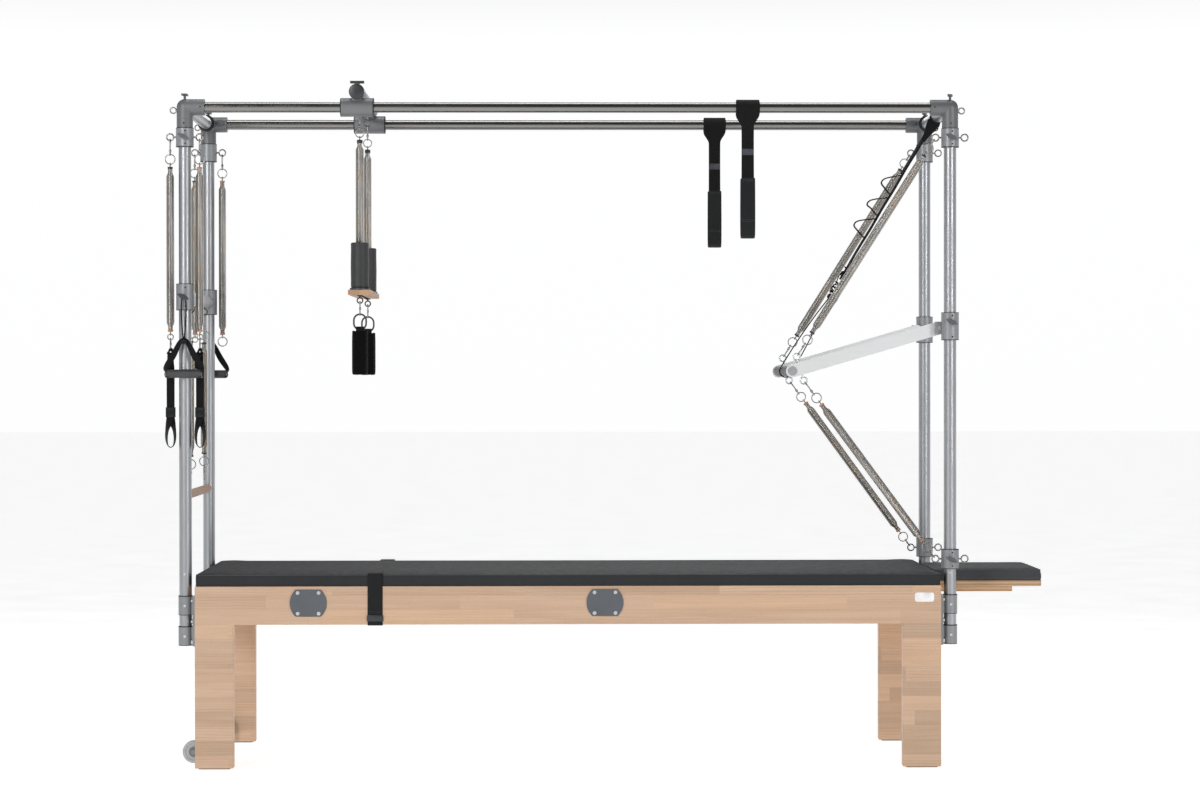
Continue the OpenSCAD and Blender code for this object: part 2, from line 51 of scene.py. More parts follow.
# ------------------------------------------------------------------ camera
cam_data = bpy.data.cameras.new("photo_camera")
cam = bpy.data.objects.new("photo_camera", cam_data)
scene.collection.objects.link(cam)
cam_data.sensor_width = 36.0
cam_data.lens = 2897.0 / 1200 * 36
cam_data.clip_start, cam_data.clip_end = 0.5, 300
yaw, pitch, roll = 0.01643, -0.00689, -0.0008
fwd = Vector((math.sin(yaw) * math.cos(pitch), math.cos(yaw) * math.cos(pitch), math.sin(pitch)))
right = Vector((math.cos(yaw), -math.sin(yaw), 0))
up = right.cross(fwd)
r2 = right * math.cos(roll) + up * math.sin(roll)
u2 = up * math.cos(roll) - right * math.sin(roll)
m = Matrix((r2, u2, -fwd)).transposed().to_4x4()
m.translation = Vector((-0.0517, -9.6328, 1.2438))
cam.matrix_world = m
scene.camera = cam

# ------------------------------------------------------------- light, floor
scene.view_settings.view_transform = "Standard"
scene.view_settings.look = "None"
world = bpy.data.worlds.new("studio")
scene.world = world
world.use_nodes = True
wn, wl = world.node_tree.nodes, world.node_tree.links
wtc = wn.new("ShaderNodeTexCoord")
wsep = wn.new("ShaderNodeSeparateXYZ")
wmap = wn.new("ShaderNodeMapRange")
wmap.inputs["From Min"].default_value = -1
wmap.inputs["From Max"].default_value = 1
wramp = wn.new("ShaderNodeValToRGB")
wl.new(wtc.outputs["Generated"], wsep.inputs[0])
wl.new(wsep.outputs["Z"], wmap.inputs["Value"])
wl.new(wmap.outputs[0], wramp.inputs[0])
els = wramp.color_ramp.elements
els[0].position, els[0].color = 0.0, (0.95, 0.95, 0.95, 1)
els[1].position, els[1].color = 1.0, (0.75, 0.76, 0.78, 1)
for at, c in ((0.56, 1.0), (0.63, 0.16), (0.88, 0.16), (0.95, 0.5)):
    e = els.new(at)
    e.color = (c, c, c * 1.01, 1)
# darker on the side of the viewer, so that tubes have a dark middle between their bright edges
wside = wn.new("ShaderNodeMapRange")
wside.inputs["From Min"].default_value = -0.35
wside.inputs["From Max"].default_value = 0.25
wside.inputs["To Min"].default_value = 0.42
wside.inputs["To Max"].default_value = 1.0
wmul = wn.new("ShaderNodeVectorMath")
wmul.operation = "SCALE"
wl.new(wsep.outputs["Y"], wside.inputs["Value"])
wl.new(wramp.outputs[0], wmul.inputs[0])
wl.new(wside.outputs[0], wmul.inputs["Scale"])
wl.new(wmul.outputs[0], wn["Background"].inputs["Color"])
wn["Background"].inputs["Strength"].default_value = 1.0


def area(name, at, to, size, size_y, power, colour=(1, 1, 1)):
    d = bpy.data.lights.new(name, "AREA")
    d.shape = "RECTANGLE"
    d.size, d.size_y, d.energy, d.color = size, size_y, power, colour
    o = bpy.data.objects.new(name, d)
    o.location = at
    o.rotation_euler = (Vector(to) - Vector(at)).to_track_quat("-Z", "Y").to_euler()
    scene.collection.objects.link(o)
    return o


area("key", (-3.4, -5.4, 3.6), (0, 0, 1.0), 1.5, 3.2, 165)
area("fill", (4.2, -5.0, 2.4), (0, 0, 0.9), 1.3, 3.2, 85)
area("top", (0.0, 0.3, 5.2), (0, 0, 0.5), 4.6, 1.0, 60)
area("rear", (0.6, 4.6, 3.6), (0, 0, 1.0), 3.6, 1.6, 45)


# --------------------------------------------------------------- materials
def srgb(code):
    v = [int(code[i:i + 2], 16) / 255 for i in (1, 3, 5)]
    return tuple(x / 12.92 if x <= 0.04045 else ((x + 0.055) / 1.055) ** 2.4 for x in v) + (1.0,)


class Mat:
    """A procedural material and short names for its nodes."""

    def __init__(self, name, rough=0.5, metal=0.0, spec=0.5, colour=None, sheen=0.0, coat=0.0, coat_rough=0.1):
        self.m = bpy.data.materials.new(name)
        self.m.use_nodes = True
        self.t = self.m.node_tree
        self.b = self.t.nodes["Principled BSDF"]
        i = self.b.inputs
        i["Roughness"].default_value = rough
        i["Metallic"].default_value = metal
        i["Specular IOR Level"].default_value = spec
        if sheen:
            i["Sheen Weight"].default_value = sheen
            i["Sheen Roughness"].default_value = 0.5
        if coat:
            i["Coat Weight"].default_value = coat
            i["Coat Roughness"].default_value = coat_rough
        if colour:
            i["Base Color"].default_value = colour

    def n(self, kind, **props):
        node = self.t.nodes.new("ShaderNode" + kind)
        for k, v in props.items():
            setattr(node, k, v)
        return node

    def put(self, value, socket):
        if hasattr(value, "is_linked") or hasattr(value, "links"):
            self.t.links.new(value, socket)
        elif value is not None:
            socket.default_value = value

    def at(self, scale=(1, 1, 1), move=(0, 0, 0), turn=(0, 0, 0), kind="Object"):
        c = self.n("TexCoord")
        mp = self.n("Mapping")
        self.t.links.new(c.outputs[kind], mp.inputs[0])
        mp.inputs["Location"].default_value = move
        mp.inputs["Rotation"].default_value = turn
        mp.inputs["Scale"].default_value = scale
        return mp.outputs[0]

    def noise(self, vec, scale=5, detail=3, rough=0.5, distort=0.0):
        t = self.n("TexNoise")
        self.t.links.new(vec, t.inputs["Vector"])
        t.inputs["Scale"].default_value = scale
        t.inputs["Detail"].default_value = detail
        t.inputs["Roughness"].default_value = rough
        t.inputs["Distortion"].default_value = distort
        return t.outputs[0]

    def voronoi(self, vec, scale=5, feature="F1", out="Distance"):
        t = self.n("TexVoronoi", feature=feature)
        self.t.links.new(vec, t.inputs["Vector"])
        t.inputs["Scale"].default_value = scale
        return t.outputs[out]

    def wave(self, vec, scale, axis="X", distort=0.0, detail=2, dscale=1.0, profile="SIN"):
        t = self.n("TexWave", wave_type="BANDS", bands_direction=axis, wave_profile=profile)
        self.t.links.new(vec, t.inputs["Vector"])
        t.inputs["Scale"].default_value = scale
        t.inputs["Distortion"].default_value = distort
        t.inputs["Detail"].default_value = detail
        t.inputs["Detail Scale"].default_value = dscale
        return t.outputs["Fac"]

    def ramp(self, fac, stops, interp="LINEAR"):
        r = self.n("ValToRGB")
        r.color_ramp.interpolation = interp
        self.put(fac, r.inputs[0])
        e = r.color_ramp.elements
        e[0].position, e[0].color = stops[0]
        e[1].position, e[1].color = stops[-1]
        for p, c in stops[1:-1]:
            x = e.new(p)
            x.color = c
        return r.outputs[0]

    def mix(self, fac, a, b, blend="MIX"):
        x = self.n("Mix", data_type="RGBA", blend_type=blend)
        self.put(fac, x.inputs[0])
        self.put(a, x.inputs[6])
        self.put(b, x.inputs[7])
        return x.outputs[2]

    def math(self, op, a, b=None, c=None):
        x = self.n("Math", operation=op)
        self.put(a, x.inputs[0])
        if b is not None:
            self.put(b, x.inputs[1])
        if c is not None:
            self.put(c, x.inputs[2])
        return x.outputs[0]

    def range(self, v, a, b, lo, hi):
        x = self.n("MapRange")
        self.put(v, x.inputs["Value"])
        for k, w in (("From Min", a), ("From Max", b), ("To Min", lo), ("To Max", hi)):
            x.inputs[k].default_value = w
        return x.outputs[0]

    def xyz(self, vec):
        x = self.n("SeparateXYZ")
        self.t.links.new(vec, x.inputs[0])
        return x.outputs

    def vec(self, x, y, z):
        v = self.n("CombineXYZ")
        for s, w in zip(v.inputs, (x, y, z)):
            self.put(w, s)
        return v.outputs[0]

    def white(self, vec):
        w = self.n("TexWhiteNoise", noise_dimensions="3D")
        self.t.links.new(vec, w.inputs["Vector"])
        return w.outputs["Value"]

    def colour(self, c):
        self.put(c, self.b.inputs["Base Color"])

    def rough(self, r):
        self.put(r, self.b.inputs["Roughness"])

    def bump(self, height, strength=0.3, distance=0.001):
        prev = self.b.inputs["Normal"].links[0].from_socket if self.b.inputs["Normal"].links else None
        x = self.n("Bump")
        x.inputs["Strength"].default_value = strength
        x.inputs["Distance"].default_value = distance
        self.put(height, x.inputs["Height"])
        if prev:
            self.t.links.new(prev, x.inputs["Normal"])
        self.t.links.new(x.outputs[0], self.b.inputs["Normal"])


def scaled(c, k):
    return (c[0] * k, c[1] * k, c[2] * k, 1.0)


def make_beech(name, stave=0.0465, along="X", across="Z", base="#CDAF95", shift=0.0):
    """Laminated beech: staves of one width side by side, each with its own tone, figure and fleck."""
    k = Mat(name, rough=0.46, spec=0.4)
    x, y, z = k.xyz(k.at())[:3]
    ax = {"X": x, "Y": y, "Z": z}
    u, v = ax[along], ax[across]
    w = ax[({"X", "Y", "Z"} - {along, across}).pop()]
    row = k.math("FLOOR", k.math("DIVIDE", k.math("ADD", v, 10 + shift), stave))
    r1 = k.white(k.vec(row, 3.7, 1.1))
    # each stave is made of lengths joined end to end
    piece = k.math("FLOOR", k.math("DIVIDE", k.math("ADD", u, k.math("MULTIPLY", r1, 3.0)), 0.62))
    r2 = k.white(k.vec(row, piece, 5.3))
    r3 = k.white(k.vec(row, piece, 9.9))
    off = k.math("MULTIPLY", r2, 37.0)
    grain = k.vec(k.math("ADD", k.math("MULTIPLY", u, 2.2), off), k.math("MULTIPLY", v, 46.0), k.math("MULTIPLY", w, 46.0))
    g1 = k.noise(grain, 1.0, 5, 0.55, 0.6)
    fine = k.vec(k.math("MULTIPLY", u, 30.0), k.math("ADD", k.math("MULTIPLY", v, 900.0), off), k.math("MULTIPLY", w, 900.0))
    g2 = k.noise(fine, 1.0, 2, 0.5)
    # cathedral figure: rings round a far centre
    ring = k.vec(k.math("ADD", k.math("MULTIPLY", u, 1.1), off), k.math("MULTIPLY", v, 11.0), off)
    g3 = k.wave(ring, 3.2, "Y", 5.5, 3, 0.9)
    fleck = k.noise(k.vec(k.math("MULTIPLY", u, 190.0), k.math("MULTIPLY", v, 620.0), k.math("MULTIPLY", w, 620.0)), 1.0, 1, 0.5)
    c0 = srgb(base)
    tone = k.ramp(r3, [(0.0, scaled(c0, 0.84)), (0.35, scaled(c0, 0.97)), (0.7, scaled(c0, 1.04)), (1.0, (c0[0] * 1.10, c0[1] * 1.06, c0[2] * 0.99, 1))])
    c = k.mix(k.math("MULTIPLY", k.range(g1, 0.35, 0.7, 0, 1), 0.30), tone, scaled(srgb("#A97F5E"), 1.0))
    c = k.mix(k.math("MULTIPLY", k.range(g3, 0.62, 0.98, 0, 1), k.math("MULTIPLY", r2, 0.26)), c, srgb("#9C7454"))
    c = k.mix(k.range(g2, 0.55, 0.85, 0, 0.16), c, srgb("#8E6747"))
    c = k.mix(k.range(fleck, 0.66, 0.74, 0, 0.42), c, srgb("#99714F"))
    # dark glue line between staves
    frac = k.math("FRACT", k.math("DIVIDE", k.math("ADD", v, 10 + shift), stave))
    edge = k.math("ABSOLUTE", k.math("SUBTRACT", frac, 0.5))
    c = k.mix(k.range(edge, 0.488, 0.5, 0, 0.35), c, srgb("#8A6346"))
    k.colour(c)
    k.rough(k.range(g1, 0.3, 0.7, 0.40, 0.55))
    k.bump(g2, 0.12, 0.0004)
    k.bump(k.range(fleck, 0.66, 0.74, 0, -1), 0.25, 0.0003)
    return k.m


beech = make_beech("beech_panel")
beech_end = make_beech("beech_cross", along="Y", across="Z")
dowel = make_beech("beech_rod", stave=0.5, along="Y", across="X", base="#A67C5B", shift=0.01)
trapeze_wood = make_beech("beech_board", stave=0.037, along="Y", across="X", base="#B8967B")


def make_ply(name, zoom=1.0):
    k = Mat(name, rough=0.5, spec=0.35)
    x, y, z = k.xyz(k.at())[:3]
    wob = k.noise(k.vec(k.math("MULTIPLY", x, 9), k.math("MULTIPLY", y, 9), 0.0), 1.0, 2)
    layer = k.math("DIVIDE", k.math("ADD", z, k.math("MULTIPLY", wob, 0.0006)), 0.0021)
    lay = k.white(k.vec(k.math("FLOOR", layer), 2.0, 7.0))
    edge = k.ramp(lay, [(0, srgb("#B08A66")), (0.45, srgb("#D9BE9C")), (0.55, srgb("#8E6A4B")), (1, srgb("#C9A985"))])
    fig = k.noise(k.vec(k.math("MULTIPLY", x, 3.0), k.math("MULTIPLY", y, 60.0), 0.3), 1.0, 5, 0.6, 1.0)
    face = k.ramp(fig, [(0.3, srgb("#C9AC88")), (0.5, srgb("#D8BF9D")), (0.72, srgb("#BE9B75"))])
    geo = k.n("NewGeometry")
    nz = k.math("ABSOLUTE", k.xyz(geo.outputs["Normal"])[2])
    c = k.mix(k.range(nz, 0.6, 0.8, 0, 1), edge, face)
    speck = k.noise(k.vec(k.math("MULTIPLY", x, 300.0), k.math("MULTIPLY", y, 300.0), k.math("MULTIPLY", z, 900.0)), 1.0, 1)
    k.colour(k.mix(k.range(speck, 0.55, 0.8, 0, 0.3), c, srgb("#8A6A4C")))
    k.bump(speck, 0.15, 0.0003)
    return k.m


plywood = make_ply("plywood")


def make_vinyl(name, base="#2F3032", grain=1.0):
    k = Mat(name, rough=0.62, spec=0.2)
    p = k.at()
    cells = k.voronoi(p, 950 * grain, "F1")
    soft = k.noise(p, 3.2, 4, 0.55)
    mid = k.noise(p, 60, 3, 0.5)
    c0 = srgb(base)
    c = k.ramp(soft, [(0.3, scaled(c0, 0.9)), (0.7, scaled(c0, 1.08))])
    k.colour(k.mix(k.range(cells, 0.0, 0.75, 0.30, 0.0), c, scaled(c0, 0.55)))
    k.rough(k.range(mid, 0.3, 0.7, 0.56, 0.70))
    k.bump(cells, 0.28, 0.0005)
    k.bump(mid, 0.10, 0.0012)
    return k.m


vinyl = make_vinyl("pad_vinyl")
# A lighter copy of the pad vinyl for the leaf cushion: painted light, to make up for the shade the leaf sits in.
leaf_vinyl_painted_light = make_vinyl("leaf_vinyl_painted_light", "#434446")


def make_satin(name, base, rough=0.3, metal=1.0, streak="Z", amount=0.5, tint=0.06, spec=0.5):
    """Drawn or brushed metal: fine lines along one axis, faint cloud in the gloss."""
    k = Mat(name, rough=rough, metal=metal, spec=spec)
    x, y, z = k.xyz(k.at())[:3]
    s = {"X": (9, 1400, 1400), "Y": (1400, 9, 1400), "Z": (1400, 1400, 9)}[streak]
    lines = k.noise(k.vec(*[k.math("MULTIPLY", a, f) for a, f in zip((x, y, z), s)]), 1.0, 2, 0.6)
    cloud = k.noise(k.at(), 14, 3, 0.5)
    c0 = srgb(base)
    c = k.ramp(lines, [(0.3, scaled(c0, 1 - tint)), (0.7, scaled(c0, 1 + tint))])
    k.colour(k.mix(k.range(cloud, 0.4, 0.75, 0, 0.18), c, scaled(c0, 0.8)))
    k.rough(k.range(cloud, 0.3, 0.7, rough * 0.85, rough * 1.2))
    k.bump(lines, 0.12 * amount, 0.0002)
    return k.m


post_alu = make_satin("post_aluminium", "#A7A9AC", 0.37, streak="Z", amount=0.04)
bar_alu = make_satin("crossbar_aluminium", "#AAACAE", 0.38, streak="Y", amount=0.1)
rail_steel = make_satin("rail_steel", "#8B8A87", 0.2, streak="X", amount=0.04)
arm_alu = make_satin("arm_aluminium", "#DEE0E0", 0.45, metal=0.5, streak="X", amount=0.5)
eye_steel = make_satin("eye_steel", "#92908C", 0.2, streak="Y", amount=0.1)
dark_steel = make_satin("dark_steel", "#6E6D6B", 0.28, streak="Z", amount=0.3)
bright = make_satin("bright_zinc", "#C9CACC", 0.22, streak="X", amount=0.2)


def make_coat(name, base, rough=0.42, peel=260, wear=0.25, metal=0.35):
    """Powder-coated or anodised casting: orange peel, faint cloud and fine lighter specks."""
    k = Mat(name, rough=rough, metal=metal, spec=0.5)
    p = k.at()
    peelz = k.noise(p, peel, 2, 0.5)
    fine = k.noise(p, peel * 6, 1, 0.5)
    cloud = k.noise(p, 11, 4, 0.6)
    c0 = srgb(base)
    c = k.ramp(cloud, [(0.3, scaled(c0, 0.92)), (0.7, scaled(c0, 1.07))])
    c = k.mix(k.range(fine, 0.6, 0.8, 0, 0.25), c, scaled(c0, 1.35))
    k.colour(c)
    k.rough(k.range(cloud, 0.3, 0.7, rough * 0.88, rough * 1.15))
    k.bump(peelz, 0.16, 0.0005)
    k.bump(fine, 0.08, 0.0002)
    return k.m


elbow_grey = make_coat("elbow_grey", "#6C6E70", 0.46)
collar_grey = make_coat("collar_grey", "#8E9093", 0.38, peel=420)
bracket_grey = make_coat("bracket_grey", "#8D8F91", 0.38, peel=420)
carriage_grey = make_coat("carriage_grey", "#747577", 0.44, peel=380)
plate_grey = make_coat("plate_grey", "#5C6065", 0.44, peel=700, metal=0.2)


def make_wheel(name, base, centre):
    """Moulded wheel: fine turned rings round its axle, a darker hub and scuffed tread."""
    k = Mat(name, rough=0.42, spec=0.5)
    p = k.at()
    x, y, z = k.xyz(p)[:3]
    dx = k.math("SUBTRACT", x, centre[0])
    dz = k.math("SUBTRACT", z, centre[1])
    d = k.math("SQRT", k.math("ADD", k.math("MULTIPLY", dx, dx), k.math("MULTIPLY", dz, dz)))
    ring = k.math("SINE", k.math("MULTIPLY", d, 1500.0))
    cloud = k.noise(p, 60, 4, 0.6)
    c0 = srgb(base)
    c = k.ramp(cloud, [(0.3, scaled(c0, 0.9)), (0.7, scaled(c0, 1.08))])
    c = k.mix(k.range(ring, 0.3, 1.0, 0.0, 0.4), c, scaled(c0, 0.62))
    k.colour(k.mix(k.range(d, 0.0155, 0.0175, 0.75, 0.0), c, scaled(c0, 0.22)))
    k.rough(k.range(cloud, 0.3, 0.7, 0.36, 0.5))
    k.bump(ring, 0.15, 0.0004)
    return k.m


wheel_grey = make_wheel("wheel_grey", "#B9BCBD", (-1.204, 0.0505))


def make_plastic(name, base, rough=0.45, grain=700, spec=0.45):
    k = Mat(name, rough=rough, spec=spec)
    p = k.at()
    g = k.voronoi(p, grain, "F1")
    cloud = k.noise(p, 40, 3, 0.5)
    c0 = srgb(base)
    k.colour(k.ramp(cloud, [(0.3, scaled(c0, 0.85)), (0.7, scaled(c0, 1.15))]))
    k.rough(k.range(cloud, 0.3, 0.7, rough * 0.85, rough * 1.15))
    k.bump(g, 0.2, 0.0003)
    return k.m


knob_plastic = make_plastic("knob_plastic", "#35363A", 0.4)
knob_grey = make_plastic("knob_grey", "#595B5F", 0.34)
gasket = make_plastic("gasket_rubber", "#1B1B1D", 0.62, 500)
foot_rubber = make_plastic("foot_rubber", "#2A2A2C", 0.7, 300)
white_plate = make_plastic("plain_label", "#E9E9EA", 0.4, 900)
edge_white = make_plastic("edge_guard", "#DADBDC", 0.45, 900)


def make_foam(name, base, scale=520):
    k = Mat(name, rough=0.5, spec=0.5, sheen=0.04)
    p = k.at()
    cells = k.voronoi(p, scale, "F1")
    cells2 = k.voronoi(p, scale * 2.3, "F1")
    cloud = k.noise(p, 26, 4, 0.55)
    c0 = srgb(base)
    c = k.ramp(cloud, [(0.3, scaled(c0, 0.86)), (0.7, scaled(c0, 1.12))])
    k.colour(k.mix(k.range(cells, 0.0, 0.45, 0.6, 0.0), c, scaled(c0, 0.45)))
    k.bump(cells, 0.4, 0.0004)
    k.bump(cells2, 0.3, 0.0003)
    return k.m


foam = make_foam("grip_foam", "#2C2D2E")
foam_dark = make_foam("handle_foam", "#3A3B3D")


def make_webbing(name, base="#0C0C0D", pitch=0.0016, sheen=0.08):
    """Woven narrow strap: u runs along it in metres and v across it."""
    k = Mat(name, rough=0.8, spec=0.2, sheen=sheen)
    c = k.n("UVMap", uv_map="strap")
    x, y, _ = k.xyz(c.outputs[0])[:3]
    a = k.math("SINE", k.math("MULTIPLY", k.math("ADD", x, k.math("MULTIPLY", y, 0.5)), 2 * pi / pitch))
    b = k.math("SINE", k.math("MULTIPLY", y, 2 * pi / (pitch * 1.1)))
    d = k.math("SINE", k.math("MULTIPLY", k.math("SUBTRACT", x, k.math("MULTIPLY", y, 0.5)), 2 * pi / pitch))
    weave = k.math("MULTIPLY", k.math("ADD", k.math("MULTIPLY", a, b), k.math("MULTIPLY", d, b)), 0.5)
    cloud = k.noise(k.at(), 120, 3, 0.6)
    fuzz = k.noise(k.at(), 2600, 1, 0.5)
    c0 = srgb(base)
    col = k.ramp(k.range(weave, -1, 1, 0, 1), [(0.1, scaled(c0, 0.45)), (0.6, c0), (1.0, scaled(c0, 1.9))])
    k.colour(k.mix(k.range(cloud, 0.35, 0.7, 0, 0.3), col, scaled(c0, 1.5)))
    k.bump(weave, 0.5, 0.0004)
    k.bump(fuzz, 0.25, 0.0002)
    return k.m


webbing = make_webbing("webbing_black")
webbing_soft = make_webbing("webbing_soft", "#1A1A1B", 0.0024)
belt_web = make_webbing("belt_webbing", "#1D1E1F", 0.0020)


def make_cloth(name, base, scale=1500, sheen=0.5, rough=0.95):
    k = Mat(name, rough=rough, spec=0.2, sheen=sheen)
    p = k.at()
    n1 = k.noise(p, scale, 2, 0.7)
    n2 = k.noise(p, 90, 4, 0.6)
    pile = k.voronoi(p, 700, "F1")
    c0 = srgb(base)
    c = k.ramp(n2, [(0.3, scaled(c0, 0.7)), (0.7, scaled(c0, 1.35))])
    k.colour(k.mix(k.range(n1, 0.55, 0.8, 0, 0.35), c, scaled(c0, 2.2)))
    k.bump(n1, 0.5, 0.0007)
    k.bump(pile, 0.35, 0.001)
    return k.m


fleece = make_cloth("cuff_fleece", "#020202", sheen=0.0)
cordage = make_cloth("cord_sleeve", "#0D0D0E", 2400, 0.06, 0.85)
thread = make_cloth("stitch_thread", "#5A5B60", 2600, 0.2, 0.8)
tab_grey = make_cloth("tab_grey", "#44454A", 1800, 0.2, 0.8)


def make_spring_steel(name, base="#B3AFA9"):
    k = Mat(name, rough=0.22, metal=1.0)
    p = k.at()
    patch = k.noise(p, 9, 3, 0.5, 0.3)
    fine = k.noise(p, 1800, 1, 0.5)
    c0 = srgb(base)
    c = k.ramp(patch, [(0.32, scaled(c0, 0.8)), (0.52, c0), (0.62, (c0[0] * 1.03, c0[1] * 0.95, c0[2] * 0.87, 1)), (0.75, scaled(c0, 1.12))])
    k.colour(c)
    k.rough(k.range(patch, 0.3, 0.7, 0.19, 0.27))
    k.bump(fine, 0.1, 0.0001)
    return k.m


coil_steel = make_spring_steel("coil_steel")
ring_steel = make_satin("ring_steel", "#9A9894", 0.19, streak="Z", amount=0.1)


def make_paint(name, base, rough=0.45):
    k = Mat(name, rough=rough, spec=0.5)
    p = k.at()
    cloud = k.noise(p, 300, 3, 0.6)
    c0 = srgb(base)
    k.colour(k.ramp(cloud, [(0.3, scaled(c0, 0.8)), (0.7, scaled(c0, 1.15))]))
    k.bump(cloud, 0.2, 0.0002)
    return k.m


band_orange = make_paint("band_orange", "#C08258")
band_dark = make_paint("band_dark", "#26262A")


# ---------------------------------------------------------- mesh helpers
def make(name, verts, faces, mat, body, replaces=(), smooth=True, uv=None):
    me = bpy.data.meshes.new(name)
    me.from_pydata([tuple(v) for v in verts], [], faces)
    me.validate()
    if uv is not None:
        layer = me.uv_layers.new(name="strap")
        vi = np.zeros(len(me.loops), np.int32)
        me.loops.foreach_get("vertex_index", vi)
        layer.data.foreach_set("uv", np.array(uv, np.float32)[vi].ravel())
    me.materials.append(mat)
    bm = bmesh.new()
    bm.from_mesh(me)
    bmesh.ops.recalc_face_normals(bm, faces=bm.faces)
    bm.to_mesh(me)
    bm.free()
    if smooth:
        for p in me.polygons:
            p.use_smooth = True
    o = bpy.data.objects.new(name, me)
    scene.collection.objects.link(o)
    if body is not None:
        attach(o, body)
    if replaces:
        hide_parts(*replaces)
    return o


def apply_mods(o):
    dg = bpy.context.evaluated_depsgraph_get()
    dg.update()
    me = bpy.data.meshes.new_from_object(o.evaluated_get(dg), preserve_all_data_layers=True, depsgraph=dg)
    o.modifiers.clear()
    old = o.data
    o.data = me
    bpy.data.meshes.remove(old)
    return o


def smooth_by_angle(o, angle=35):
    me = o.data
    for p in me.polygons:
        p.use_smooth = True
    bm = bmesh.new()
    bm.from_mesh(me)
    for e in bm.edges:
        e.smooth = not (len(e.link_faces) == 2 and e.calc_face_angle(0) > math.radians(angle))
    bm.to_mesh(me)
    bm.free()


def bevelled(o, width, segments=3, angle=35):
    """Rounds the sharp edges of a piece in its mesh."""
    md = o.modifiers.new("edge", "BEVEL")
    md.width, md.segments, md.limit_method, md.angle_limit = width, segments, "ANGLE", math.radians(angle)
    md.miter_outer = "MITER_ARC"
    md.harden_normals = False
    apply_mods(o)
    smooth_by_angle(o, 40)
    return o


def frames(pts, closed=False, up=None):
    """Tangents and two normals along a line, carried without twist, or kept to a fixed direction."""
    pts = np.array(pts, float)
    n = len(pts)
    if closed:
        tan = np.roll(pts, -1, 0) - np.roll(pts, 1, 0)
    else:
        tan = np.gradient(pts, axis=0)
    tan /= np.linalg.norm(tan, axis=1)[:, None] + 1e-12
    if up is not None:
        b = np.array(up, float)
        side = np.cross(tan, b)
        side /= np.linalg.norm(side, axis=1)[:, None] + 1e-12
        return tan, np.tile(b / np.linalg.norm(b), (n, 1)), side
    a = np.array([0, 0, 1.0]) if abs(tan[0][2]) < 0.9 else np.array([1.0, 0, 0])
    nrm = np.cross(tan[0], a)
    nrm /= np.linalg.norm(nrm)
    out = [nrm]
    for i in range(1, n):
        v = out[-1] - tan[i] * (out[-1] @ tan[i])
        out.append(v / (np.linalg.norm(v) + 1e-12))
    out = np.array(out)
    if closed:
        # spread the mismatch over the loop
        last = out[-1] - tan[0] * (out[-1] @ tan[0])
        last /= np.linalg.norm(last)
        ang = math.atan2(np.cross(last, out[0]) @ tan[0], last @ out[0])
        for i in range(n):
            t = ang * (i + 1) / n
            c, s = math.cos(t), math.sin(t)
            out[i] = out[i] * c + np.cross(tan[i], out[i]) * s
    return tan, out, np.cross(tan, out)


def tube(pts, r, sides=8, closed=False, taper=None):
    """Vertices and faces of a round bar along a line."""
    _, a, b = frames(pts, closed)
    pts = np.array(pts, float)
    n = len(pts)
    rad = np.full(n, r) if taper is None else np.array(taper)
    ang = np.linspace(0, 2 * pi, sides, endpoint=False)
    ring = np.cos(ang)[None, :, None] * a[:, None, :] + np.sin(ang)[None, :, None] * b[:, None, :]
    v = (pts[:, None, :] + ring * rad[:, None, None]).reshape(-1, 3)
    f = []
    for i in range(n if closed else n - 1):
        j = (i + 1) % n
        for k in range(sides):
            l = (k + 1) % sides
            f.append((i * sides + k, i * sides + l, j * sides + l, j * sides + k))
    if not closed:
        f.append(tuple(range(sides))[::-1])
        f.append(tuple((n - 1) * sides + k for k in range(sides)))
    return v, f


def join_parts(parts):
    """Several (verts, faces) as one."""
    V, F, at = [], [], 0
    for v, f in parts:
        V.append(np.array(v, float))
        F += [tuple(i + at for i in q) for q in f]
        at += len(v)
    return np.concatenate(V), F


def turn(v, axis, angle, about=(0, 0, 0)):
    r = np.array(Matrix.Rotation(angle, 3, Vector(axis)))
    return (np.array(v, float) - about) @ r.T + about


def lathe(profile, axis="Z", steps=40, centre=(0, 0, 0)):
    """Profile of (radius, height) turned round an axis; closed at both ends where the radius is 0."""
    V, F = [], []
    idx = []
    for rr, h in profile:
        if rr < 1e-7:
            idx.append([len(V)])
            V.append((0, 0, h))
        else:
            idx.append(list(range(len(V), len(V) + steps)))
            V += [(rr * math.cos(2 * pi * i / steps), rr * math.sin(2 * pi * i / steps), h) for i in range(steps)]
    for a, b in zip(idx, idx[1:]):
        for i in range(steps):
            j = (i + 1) % steps
            if len(a) == 1 and len(b) == 1:
                continue
            if len(a) == 1:
                F.append((a[0], b[i], b[j]))
            elif len(b) == 1:
                F.append((a[i], a[j], b[0]))
            else:
                F.append((a[i], a[j], b[j], b[i]))
    V = np.array(V, float)
    if axis == "X":
        V = V[:, [2, 0, 1]]
    elif axis == "Y":
        V = V[:, [1, 2, 0]]
    return V + np.array(centre), F


def lathe_ring(profile, axis="Z", steps=40, centre=(0, 0, 0)):
    """Closed profile of (radius, height) turned round an axis: a hollow turned piece."""
    V, F = [], []
    n = len(profile)
    for i in range(steps):
        a = 2 * pi * i / steps
        V += [(r * math.cos(a), r * math.sin(a), h) for r, h in profile]
    for i in range(steps):
        j = (i + 1) % steps
        for k in range(n):
            l = (k + 1) % n
            F.append((i * n + k, j * n + k, j * n + l, i * n + l))
    V = np.array(V, float)
    if axis == "X":
        V = V[:, [2, 0, 1]]
    elif axis == "Y":
        V = V[:, [1, 2, 0]]
    return V + np.array(centre), F


